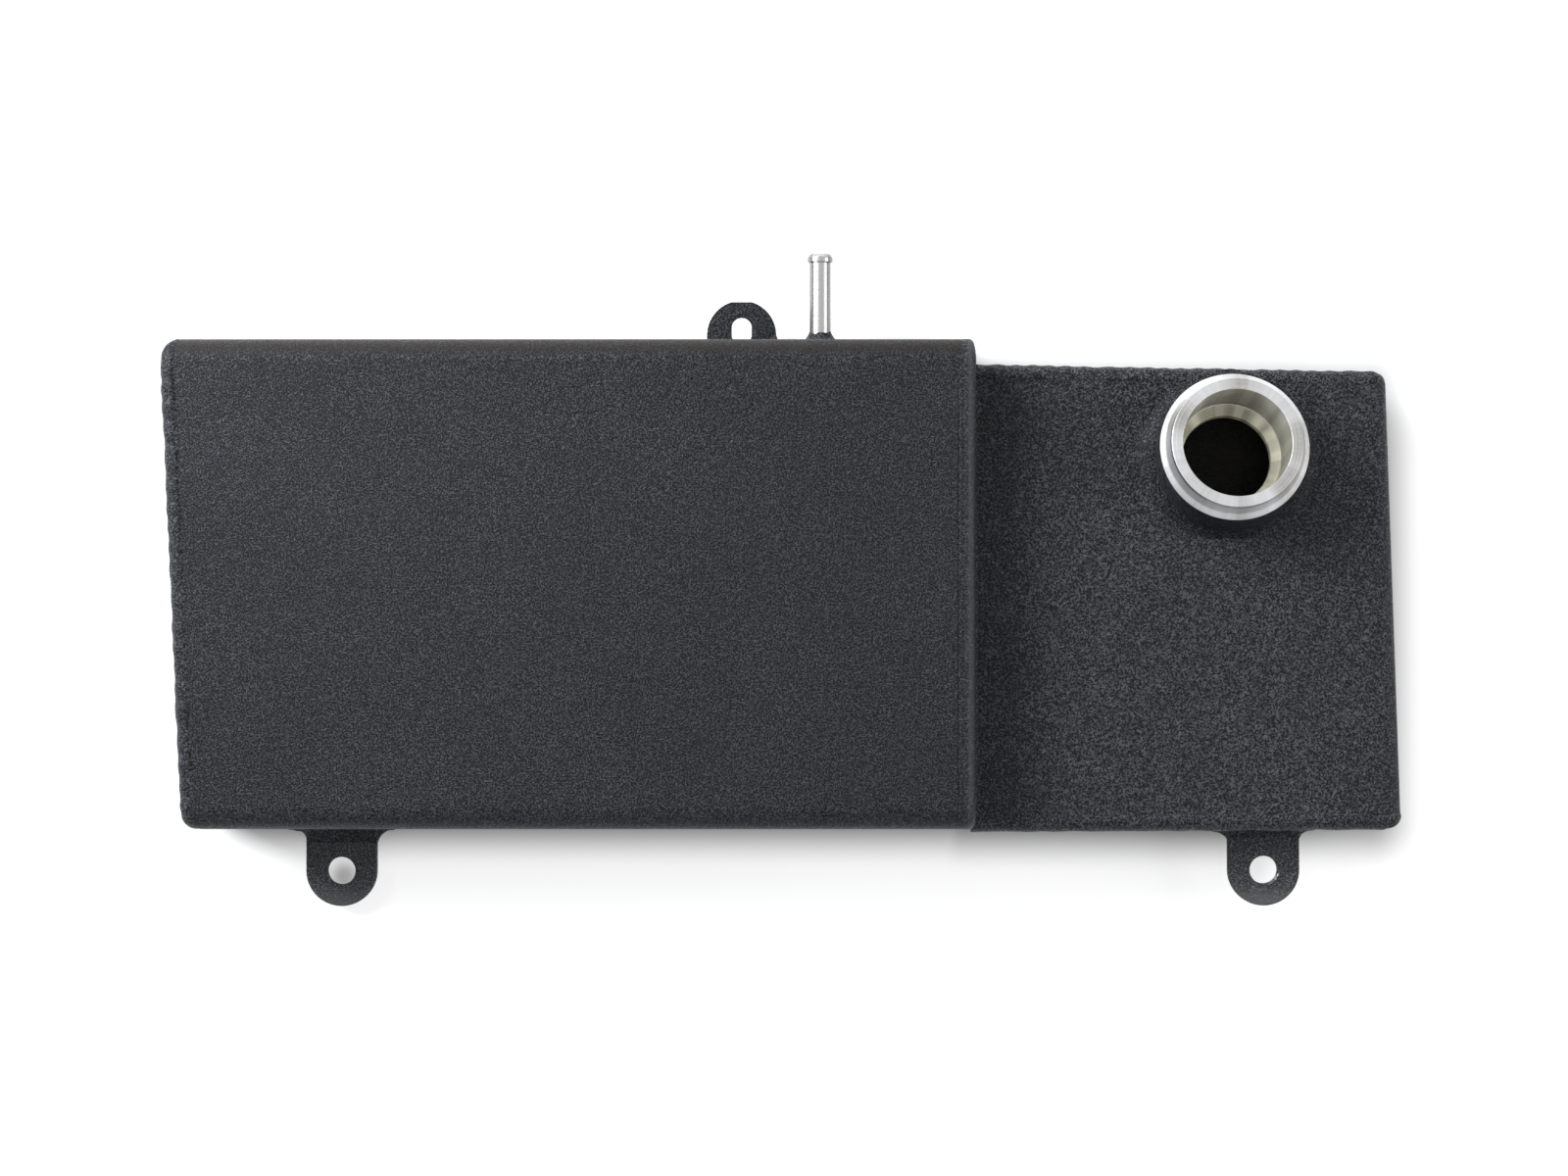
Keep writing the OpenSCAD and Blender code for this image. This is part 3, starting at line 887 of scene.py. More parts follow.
@dataclass(frozen=True)
class PlanCorner:
    """An upright corner of a chamber that is ground round, seen from the front."""

    corner: Vector
    first: Vector
    second: Vector
    radius: float
    loops: int = 7

    def grind(self, bm: bmesh.types.BMesh, proud: float = 0.0, cut: bool = True) -> None:
        """Draws what stands outside the rounded corner in to it.

        Args:
            bm: the mesh, in millimetres.
            proud: how far it may stand outside the sheet's corner.
            cut: whether it first gets edges for the round to bend at.
        """
        centre = self.corner + (self.first + self.second) * self.radius
        for inward in (self.first, self.second) if cut else ():
            for k in range(self.loops):
                at = self.corner + inward * self.radius * (1 - math.cos(math.pi / 2 * (k + 1) / self.loops))
                bmesh.ops.bisect_plane(
                    bm,
                    geom=bm.verts[:] + bm.edges[:] + bm.faces[:],
                    dist=0.01,
                    plane_co=at,
                    plane_no=inward,
                )
        for vert in bm.verts:
            away = Vector((vert.co.x - centre.x, vert.co.y - centre.y, 0))
            if away.dot(self.first) < 0 and away.dot(self.second) < 0 and away.length > self.radius + proud:
                ground = centre + away.normalized() * (self.radius + proud)
                vert.co.x, vert.co.y = ground.x, ground.y


def low_corner(node: str) -> Vector:
    """Lowest corner of a CAD node's box, in millimetres."""
    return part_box(node)[0] / MM


def high_corner(node: str) -> Vector:
    """Highest corner of a CAD node's box, in millimetres."""
    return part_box(node)[1] / MM


def hollow(reach: float, rise: float, base: float = 0.0) -> List[Point]:
    """Hollow face of a fillet.

    Args:
        reach: its width.
        rise: its height.
        base: height of its foot.

    Returns:
        Its curve, from the top to the foot.
    """
    curve = []
    for k in range(9):
        t = k / 8
        bow = 2 * t * (1 - t) * BEND
        curve.append((reach * (t ** 2 + bow), base + rise * ((1 - t) ** 2 + bow)))
    return curve


def fillet_outline(leg: float, rise: float, sink: float) -> List[Point]:
    """Hollow-faced weld between a wall along the out direction and a face along the across one.

    Args:
        leg: reach over the face.
        rise: reach up the wall.
        sink: depth that is hidden in both.

    Returns:
        The outline.
    """
    return [(-sink, rise)] + hollow(leg, rise) + [(leg, -sink), (-sink, -sink)]


@dataclass(frozen=True)
class CornerBead:
    """Hand-laid bead that fills and rounds an open corner."""

    seed: float
    pitch: float
    height: float
    toe: float = 5.4
    crown: float = 0.35
    nose: float = 4.0
    width: float = 4.0

    def section(self, station: Station) -> List[Point]:
        """Outline of the bead, with its ripples.

        Args:
            station: a place along the corner.

        Returns:
            The outline.
        """
        flush = 0.25 + 0.75 * station.out.z ** 2
        lift = (self.crown + self.height * bead_height(station.run, self.seed, self.pitch)) * flush
        sway = 0.35 * bead_height(station.run + 40, self.seed + 5, self.pitch * 2.3)
        reach = self.toe + sway
        points = [(-reach - 0.6, -0.4), (-reach, -0.03)]
        for k in range(1, 5):
            t = k / 5
            ramp = t * t * (3 - 2 * t)
            points.append((-reach + (reach - self.nose) * t, lift * ramp))
        radius = self.nose + lift
        for k in range(9):
            angle = math.pi / 2 * (1 - k / 8)
            points.append((-self.nose + radius * math.cos(angle), -self.nose + radius * math.sin(angle)))
        return points + [(0.1, -self.width - 0.8), (-0.3, -self.width - 1.2), (-2.8, -2.8)]


class Fitting:
    """A turned piece of bare metal, and the weld round it."""

    weld: str
    count: int

    def build_metal(self) -> None:
        """Builds the turned piece."""
        raise NotImplementedError

    def corner(self, angle: float) -> Place:
        """Corner, across and out of the weld at an angle."""
        raise NotImplementedError

    def section(self, angle: float, station: Station) -> List[Point]:
        """Outline of the weld at an angle."""
        raise NotImplementedError

    def build(self, coat: bpy.types.Material) -> None:
        """Builds the piece and its weld.

        Args:
            coat: finish of the weld.
        """
        self.build_metal()
        stations = with_runs([self.corner(TAU * k / self.count) for k in range(self.count + 1)])
        turn = TAU / stations[-1].run
        laid(swept(stations, lambda s: self.section(turn * s.run, s), closed=True), self.weld, coat)


@dataclass
class Chambers:
    """Folded sheets and plates of both chambers, and the beads along their corners."""

    end_bead: CornerBead = CornerBead(seed=2.0, pitch=8.5, height=0.3)
    step_bead: CornerBead = CornerBead(seed=7.0, pitch=13.0, height=0.12, toe=4.4, crown=0.5, nose=1.9)
    upper_bead: CornerBead = CornerBead(seed=3.0, pitch=7.0, height=0.32)
    lower_bead: CornerBead = CornerBead(seed=9.0, pitch=15.0, height=0.22, crown=0.85)
    bead_proud: float = 0.25
    toe_gap: float = 1.3
    groove_in: float = 4.0
    # distance of the painted crest highlight in from the step
    highlight_crest_in: float = 1.2
    upper_corner_r: float = 8.5
    lower_corner_r: float = 6.0
    side_corner_r: float = 6.0
    fold_r: float = 9.0
    side_fold_r: float = 5.0
    sheet_t: float = 3.0
    end_lean: float = math.radians(2.5)
    side_fall: float = math.radians(0.95)
    side_climb: float = math.radians(0.3)
    side_lean: float = math.radians(2.0)
    root_leg: float = 2.6
    pace: float = 0.8
    # a lighter copy of the coat for the side chamber, its beads and the lower tabs' welds: painted light, as
    # if lit more from the right
    side_lit_low: Colour = (0.003, 0.0034, 0.0042, 1.0)
    side_lit_high: Colour = (0.148, 0.158, 0.180, 1.0)

    def __post_init__(self) -> None:
        """Reads the places of the plates from the frame."""
        self.half_h = high_corner("main_shell").y
        self.depth = high_corner("main_shell").z
        self.step_x = high_corner("step_plate").x
        self.side_x = low_corner("side_top_plate").x
        self.side_front = high_corner("side_cover").z
        self.side_back = low_corner("side_back_plate").z
        self.side_top = high_corner("side_top_plate").y
        self.side_low = low_corner("side_bottom_plate").y
        wall = max((v.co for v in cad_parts["side_cover"].data.vertices), key=lambda co: co.x) / MM
        self.outer_x = wall.x + wall.y * math.tan(self.side_lean)
        self.coat = WrinkleCoat().build()
        # painted light: the side chamber's coat and beads are a lighter copy
        lit_side_tones = {"low": self.side_lit_low, "high": self.side_lit_high}
        self.lit_side_coat = WrinkleCoat(name="wrinkle_coat_lit_side", **lit_side_tones).build()
        self.shell_coat = WrinkleCoat(
            name="wrinkle_coat_shell",
            pits=(30.0, 64.0, 62.0, 26.0),
            groove_x=self.step_x - self.step_bead.toe - self.toe_gap,
            # painted dark reflection along the main shell's upper fold
            fold_reflection_band=(self.half_h - 7.0, self.half_h - 4.0),
        ).build()
        beads = WrinkleCoat(name="wrinkle_coat_bead", wrinkle=0.7, lump_depth=0.5, roughness=0.46)
        self.bead_coat = beads.build()
        self.lit_side_bead_coat = replace(beads, name="wrinkle_coat_lit_side_bead", **lit_side_tones).build()
        self.step_coat = replace(
            beads,
            name="wrinkle_coat_step",
            wrinkle=WrinkleCoat.wrinkle,
            groove_x=self.step_x - self.groove_in,
            # painted highlight along the step bead's crest
            highlight_crest_x=self.step_x - self.highlight_crest_in,
        ).build()

        along = Vector((-math.sin(self.end_lean), math.cos(self.end_lean), 0))
        into = Vector((math.cos(self.end_lean), math.sin(self.end_lean), 0))
        self.end_corners = []
        for y, radius in ((self.half_h, self.upper_corner_r), (-self.half_h, self.lower_corner_r)):
            corner = Vector((-self.step_x - y * math.tan(self.end_lean), y, 0))
            inward = -along if y > 0 else along
            self.end_corners.append(PlanCorner(corner, into, inward, radius))
        wall = Vector((-math.sin(self.side_lean), math.cos(self.side_lean), 0))
        low_x = self.outer_at(self.side_low)
        low = Vector((low_x, self.side_low + (low_x - self.side_x) * math.tan(self.side_climb), 0))
        self.side_corner = PlanCorner(low, -X_AXIS, wall, self.side_corner_r)

    def dress_plates(self) -> None:
        """Gives the plates their finish."""
        for node in ("main_back_plate", "step_plate", "side_top_plate", "side_bottom_plate"):
            dressed(node, self.coat)
        # the back plate's inner face gets painted shade, near black, for the dark inside of the tank
        inside = self.side_back + self.sheet_t - 1.0
        dressed("side_back_plate", WrinkleCoat(name="wrinkle_coat_back_shaded_inside", shade_inside_z=inside).build())
        dressed("surge_baffle", MillSheet().build())

    def build_sheets(self) -> None:
        """Folded sheets and the end plate, with their plan corners ground round."""
        for node, corners, coat in (
            ("main_shell", self.end_corners, self.shell_coat),
            ("end_plate", self.end_corners, self.coat),
            ("side_cover", [self.side_corner], self.lit_side_coat),
        ):
            bm = copied(node)
            for corner in corners:
                corner.grind(bm)
            finished(bm, f"{node}_sheet", coat, [node])

    def section_path(self, lean: float, foot: float) -> List[Place]:
        """Path of a seam round the main chamber's section, from one foot over the front to the other.

        Args:
            lean: lean of the joined plate.
            foot: height at which the seam starts and ends.

        Returns:
            Corner, across and out for each place, with the plate at X = 0.
        """
        stretch = 1 / math.cos(lean)
        flat = self.half_h - self.fold_r
        fold_z = self.depth - self.fold_r
        climb = max(2, int((fold_z - foot) / self.pace))
        places = [(self.half_h, foot + (fold_z - foot) * k / climb, 0.0) for k in range(climb)]
        turns = 18
        for k in range(turns):
            angle = math.pi / 2 * k / turns
            bend = (flat + self.fold_r * math.cos(angle), fold_z + self.fold_r * math.sin(angle), angle)
            places.append(bend)
        cross = int(flat / self.pace)
        places += [(flat * (1 - k / cross), self.depth, math.pi / 2) for k in range(cross)]
        mirrored = [(-y, z, math.pi - angle) for y, z, angle in reversed(places)]
        return [
            (Vector((0.0, y * stretch, z)), X_AXIS, Vector((0.0, math.cos(angle), math.sin(angle))))
            for y, z, angle in places + [(0.0, self.depth, math.pi / 2)] + mirrored
        ]

    def build_end_bead(self) -> None:
        """Bead round the leaning end plate."""
        turn = Matrix.Rotation(self.end_lean, 3, "Z")
        flip = Matrix.Diagonal(Vector((-1, 1, 1)))
        shift = Vector((-self.step_x, 0, 0))
        path = [
            (shift + turn @ (flip @ p), turn @ (flip @ a), turn @ (flip @ o))
            for p, a, o in self.section_path(self.end_lean, self.sheet_t - 1)
        ]
        bm = swept(with_runs(path), self.end_bead.section)
        for corner in self.end_corners:
            corner.grind(bm, self.bead_proud, cut=False)
        laid(bm, "end", self.bead_coat)

    def build_step_bead(self) -> None:
        """Bead round the step between the chambers."""
        shift = Vector((self.step_x, 0, 0))
        path = [(shift + p, a, o) for p, a, o in self.section_path(0.0, self.sheet_t - 1)]
        laid(swept(with_runs(path), self.step_bead.section), "step", self.step_coat)

    def outer_at(self, y: float) -> float:
        """Place of the side chamber's outer wall at a height."""
        return self.outer_x - y * math.tan(self.side_lean)

    def side_path(self, upper: bool) -> List[Place]:
        """Path along an edge of the side chamber, round its fold and down its outer wall.

        Args:
            upper: whether it is the upper edge.

        Returns:
            Corner, across and out for each place.
        """
        slope = -math.tan(self.side_fall) if upper else math.tan(self.side_climb)
        start_y = self.side_top if upper else self.side_low
        across = Vector((-slope, 1, 0)) if upper else Vector((slope, -1, 0))
        wall = Vector((math.cos(self.side_lean), math.sin(self.side_lean), 0))
        corner_x = self.outer_at(start_y + slope * (self.outer_x - self.side_x))
        corner_y = start_y + slope * (corner_x - self.side_x)
        run = Vector((1, slope, 0)).normalized()
        flat = (corner_x - self.side_x) / run.x - self.side_fold_r
        steps = int(flat / self.pace)
        start = Vector((self.side_x - 0.5, start_y - slope * 0.5, self.side_front))
        path = [(start + run * (flat + 0.5) * k / steps, across, Z_AXIS) for k in range(steps)]
        turns = 12
        fold_z = self.side_front - self.side_fold_r
        centre = Vector((corner_x, corner_y, fold_z)) - run * self.side_fold_r
        for k in range(turns + 1):
            angle = math.pi / 2 * k / turns
            out = wall * math.sin(angle) + Z_AXIS * math.cos(angle)
            place = centre + (run * math.sin(angle) + Z_AXIS * math.cos(angle)) * self.side_fold_r
            path.append((place, across, out))
        drop = fold_z - self.side_back - self.sheet_t + 1
        steps = int(drop / self.pace)
        for k in range(1, steps + 1):
            path.append((Vector((corner_x, corner_y, fold_z - drop * k / steps)), across, wall))
        return path

    def build_side_beads(self) -> None:
        """Beads along the upper and lower edges of the side chamber."""
        for name, bead in (("side_top", self.upper_bead), ("side_bottom", self.lower_bead)):
            upper = bead is self.upper_bead
            bm = swept(with_runs(self.side_path(upper)), bead.section)
            if not upper:
                self.side_corner.grind(bm, self.bead_proud, cut=False)
            laid(bm, name, self.lit_side_bead_coat)

    def root_section(self, station: Station) -> List[Point]:
        """Outline of the fillet where the side chamber meets the step."""
        leg = self.root_leg + 0.4 * bead_height(station.run, 11.0, 6.0)
        return fillet_outline(leg, leg, 0.4)

    def build_root_bead(self) -> None:
        """Fillet where the side chamber meets the step: over its front, upper edge and back."""
        x, top, low = self.step_x, self.side_top, self.side_low + 1
        front, back = self.side_front, self.side_back
        quarter = [math.pi / 2 * k / 8 for k in range(9)]
        up, deep = int((top - low) / self.pace), int((front - back) / self.pace)
        places = [(Vector((x, low + k * self.pace, front)), Z_AXIS) for k in range(up)]
        places += [(Vector((x, top, front)), Z_AXIS * math.cos(a) + Y_AXIS * math.sin(a)) for a in quarter]
        places += [(Vector((x, top, front - k * self.pace)), Y_AXIS) for k in range(1, deep)]
        places += [(Vector((x, top, back)), Y_AXIS * math.cos(a) - Z_AXIS * math.sin(a)) for a in quarter]
        places += [(Vector((x, top - k * self.pace, back)), -Z_AXIS) for k in range(1, up)]
        stations = with_runs([(p, out, X_AXIS) for p, out in places])
        laid(swept(stations, self.root_section), "side_root", self.bead_coat)

    def build_seams(self) -> None:
        """Seams round the two back plates, rounded towards the floor."""
        for side, corners in (("main", self.end_corners), ("side", [self.side_corner])):
            bm = copied(f"{side}_seam_weld")
            for corner in corners:
                corner.grind(bm)
            laid(bm, f"{side}_seam", self.bead_coat)

    def build(self) -> None:
        """Builds and dresses everything of the two chambers."""
        self.dress_plates()
        self.build_sheets()
        self.build_end_bead()
        self.build_step_bead()
        self.build_side_beads()
        self.build_root_bead()
        self.build_seams()


@dataclass
class FillerNeck(Fitting):
    """Turned neck that leans out of the side chamber, and the weld round it."""

    weld: str = "neck"
    count: int = 220
    lean: float = math.radians(9.8)
    rise: float = 26.0
    barrel_r: float = 27.2
    rim_r: float = 23.8
    bore_r: float = 19.8
    seat_r: float = 16.5
    seat_h: float = 3.0
    spigot_wall: float = 4.2
    tail: float = 4.0
    sheet_t: float = 3.0
    steps: int = 192
    weld_leg: float = 4.4
    weld_rise: float = 4.6
    shoulder: float = 7.7
    coat_t: float = 0.15

    def __post_init__(self) -> None:
        """Reads the neck's place from the frame."""
        low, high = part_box("filler_neck")
        weld_y = low_corner("neck_weld").y + high_corner("neck_weld").y
        self.base = Vector(((low.x + high.x) / 2 / MM, weld_y / 2, high_corner("side_cover").z))
        self.tilt = Matrix.Translation(self.base) @ Matrix.Rotation(-self.lean, 4, "X")
        self.axis = (self.tilt.to_3x3() @ Z_AXIS).normalized()
        self.metal = TurnedAluminium(
            "turned_neck",
            tuple(self.base),
            (-self.lean, 0.0, 0.0),
            roughness=0.32,
            groove_depth=0.035,
            outer_r=self.rim_r + 0.1,
            inner_r=self.bore_r + 0.3,
        ).build()

    def barrel_outline(self) -> List[Point]:
        """Half section of the neck from its rim down past the tank's face."""
        deep = -self.barrel_r * math.tan(self.lean) - 1.5
        return rounded([
            (self.bore_r, self.rise, 0.35),
            (self.rim_r, self.rise, 0.3),
            (self.rim_r + 1.45, self.rise - 5.3, 0.15),
            (self.rim_r + 1.75, self.rise - 5.7, 0.15),
            (self.barrel_r, self.rise - 7.4, 0.4),
            (self.barrel_r, deep, 0.0),
            (self.bore_r, deep, 0.0),
        ])

    def spigot_outline(self) -> List[Point]:
        """Half section of the seat and of the spigot inside the tank."""
        outside = self.seat_r + self.spigot_wall
        foot = -self.sheet_t - self.tail
        return rounded([
            (self.bore_r + 0.3, 0.9, 0.0),
            (self.bore_r - 0.5, 0.1, 0.0),
            (self.seat_r + 0.5, -self.seat_h + 0.4, 0.0),
            (self.seat_r, -self.seat_h, 0.4),
            (self.seat_r, foot, 0.4),
            (outside, foot, 0.4),
            (outside, 0.9, 0.0),
        ])

    def build_metal(self) -> None:
        """Spins the neck, cuts its foot to the face and adds the spigot."""
        bm = turned(self.barrel_outline(), self.steps, self.tilt)
        cut = bmesh.ops.bisect_plane(
            bm,
            geom=bm.verts[:] + bm.edges[:] + bm.faces[:],
            dist=0.0001,
            plane_co=self.base,
            plane_no=(0, 0, 1),
            clear_inner=True,
        )
        rim = [g for g in cut["geom_cut"] if isinstance(g, bmesh.types.BMEdge)]
        bmesh.ops.triangle_fill(bm, edges=rim, use_beauty=True)
        spigot = turned(self.spigot_outline(), self.steps, self.tilt)
        extra = bpy.data.meshes.new("spigot")
        spigot.to_mesh(extra)
        spigot.free()
        bm.from_mesh(extra)
        bpy.data.meshes.remove(extra)
        finished(bm, "turned_neck", self.metal, ["filler_neck"], sharp=30.0)

    def corner(self, angle: float) -> Place:
        """Corner of the weld, where the leaning barrel meets the face.

        Args:
            angle: angle round the neck.

        Returns:
            Corner, across and out.
        """
        ray = Vector((math.cos(angle), math.sin(angle), 0))
        reach = self.barrel_r * math.sqrt(ray.x ** 2 + (ray.y / math.cos(self.lean)) ** 2)
        return self.base + ray * reach, ray, self.axis

    def section(self, angle: float, station: Station) -> List[Point]:
        """Outline of the weld, broad at its sides and narrow where the neck leans away.

        Args:
            angle: angle round the neck.
            station: a place along the weld.

        Returns:
            The outline, with the coat up the barrel.
        """
        wave = 0.3 * math.sin(9 * angle) + 0.2 * math.sin(17 * angle + 1.0)
        wave += 0.25 * math.sin(4 * angle + 2.0)
        side = math.sin(angle)
        top = self.rise - self.shoulder - (station.point - self.base).dot(self.axis)
        leg = self.weld_leg + wave * 1.2 + 1.5 * (1 - side ** 2) - 1.9 * max(0.0, -side) ** 3
        rise = self.weld_rise + 0.8 * wave + 1.5 * max(0.0, -side) ** 2
        weld = fillet_outline(leg, rise, 0.5)
        return [(-0.3, top), (self.coat_t, top), (self.coat_t, rise)] + weld[2:-1] + [(-0.3, -0.5)]


@dataclass
class VentNipple(Fitting):
    """Turned hose nipple in the upper wall, and the weld round it."""

    weld: str = "vent"
    count: int = 72
    tube_r: float = 4.0
    bore_r: float = 2.8
    reach: float = 33.6
    bead_h: float = 0.75
    bead_l: float = 3.3
    inside: float = 6.0
    steps: int = 96
    weld_leg: float = 3.8
    weld_rise: float = 4.3

    def __post_init__(self) -> None:
        """Reads the nipple's place from the frame."""
        low, high = low_corner("vent_nipple"), high_corner("vent_nipple")
        self.base = Vector(((low.x + high.x) / 2, high.y - self.reach, (low.z + high.z) / 2))
        self.tilt = Matrix.Translation(self.base) @ Matrix.Rotation(-math.pi / 2, 4, "X")
        self.metal = TurnedAluminium(
            "turned_nipple",
            tuple(self.base),
            (-math.pi / 2, 0.0, 0.0),
            groove=0.3,
            groove_depth=0.004,
            roughness=0.26,
            colour=(0.54, 0.54, 0.55, 1.0),
            shaded=(0.48, 0.46, 0.44, 1.0),
            # painted dark reflection on the nipple's sides
            sides=0.7,
        ).build()

    def build_metal(self) -> None:
        """Spins the nipple with its hose bead."""
        rim = self.tube_r + self.bead_h
        foot = self.reach - self.bead_l
        outline = rounded([
            (self.bore_r, -self.inside, 0.0),
            (self.tube_r, -self.inside, 0.0),
            (self.tube_r, foot, 0.0),
            (rim, foot + 0.25, 0.2),
            (rim, foot + self.bead_l * 0.62, 0.7),
            (self.tube_r - 0.1, self.reach, 0.25),
            (self.bore_r, self.reach, 0.2),
        ])
        bm = turned(outline, self.steps, self.tilt)
        finished(bm, "turned_nipple", self.metal, ["vent_nipple"], sharp=30.0)

    def corner(self, angle: float) -> Place:
        """Corner, across and out of the weld at an angle."""
        ray = Vector((math.cos(angle), 0, math.sin(angle)))
        return self.base + ray * self.tube_r, ray, Y_AXIS

    def section(self, angle: float, station: Station) -> List[Point]:
        """Outline of the weld at an angle."""
        wave = math.sin(5 * angle) * 0.25 + math.sin(2 * angle + 1) * 0.3
        return fillet_outline(self.weld_leg + wave, self.weld_rise + wave, 0.4)


@dataclass
class OutletBoss(Fitting):
    """Threaded boss under the side chamber, and the weld round it."""

    weld: str = "outlet"
    count: int = 120
    crest_r: float = 10.2
    root_r: float = 11.0
    pitch: float = 1.5
    lip: float = 2.0
    steps: int = 72

    def __post_init__(self) -> None:
        """Reads the boss's place from the frame."""
        self.low, self.high = low_corner("outlet_boss"), high_corner("outlet_boss")
        self.axis_at = (self.low + self.high) / 2
        self.outer_r = (self.high.x - self.low.x) / 2
        self.foot_z = high_corner("outlet_weld").z
        self.leg = self.foot_z - low_corner("outlet_weld").z
        self.metal = TurnedAluminium("turned_outlet", tuple(self.axis_at), groove=0.3, roughness=0.3).build()

    def build_metal(self) -> None:
        """Spins the boss, with the thread's turns as rings up its bore."""
        face = low_corner("side_back_plate").z
        outline: List[Tuple[float, float, float]] = [
            (self.root_r + 1.0, self.low.z, 0.0),
            (self.outer_r, self.low.z, 0.5),
            (self.outer_r, face, 0.0),
            (self.outer_r - 2, face, 0.0),
            (self.outer_r - 2, self.high.z, 0.3),
            (self.crest_r, self.high.z, 0.2),
        ]
        depth = self.high.z - self.low.z - self.lip
        turns = int(depth / self.pitch)
        for k in range(turns):
            z = self.high.z - 0.6 - k * self.pitch
            outline += [
                (self.crest_r, z, 0.0),
                (self.root_r, z - 0.65, 0.0),
                (self.root_r, z - 0.8, 0.0),
                (self.crest_r, z - 1.4, 0.0),
            ]
        move = Matrix.Translation((self.axis_at.x, self.axis_at.y, 0))
        bm = turned(rounded(outline), self.steps, move)
        finished(bm, "turned_outlet", self.metal, ["outlet_boss"], sharp=30.0)

    def corner(self, angle: float) -> Place:
        """Corner, across and out of the weld at an angle."""
        ray = Vector((math.cos(angle), math.sin(angle), 0))
        return Vector((self.axis_at.x, self.axis_at.y, self.foot_z)) + ray * self.outer_r, ray, -Z_AXIS

    def section(self, angle: float, station: Station) -> List[Point]:
        """Outline of the weld at an angle."""
        leg = self.leg + 0.3 * math.sin(21 * angle)
        return fillet_outline(leg, leg, 0.4)


@dataclass(frozen=True)
class Flare:
    """Hollow round spread of a tab's root weld beside the tab."""

    spread: float
    drop: float
    foot: float
    lumps: float = 0.2
    tail: float = 3.0

    def reach(self, away: float) -> float:
        """Distance of the weld's edge from the wall.

        Args:
            away: distance from the tab's side, in millimetres.

        Returns:
            The distance.
        """
        if away < self.spread:
            return self.foot + self.drop * (1 - math.sqrt(1 - (1 - away / self.spread) ** 2))
        return self.foot * math.sqrt(max(0.0, 1 - ((away - self.spread) / self.tail) ** 2))


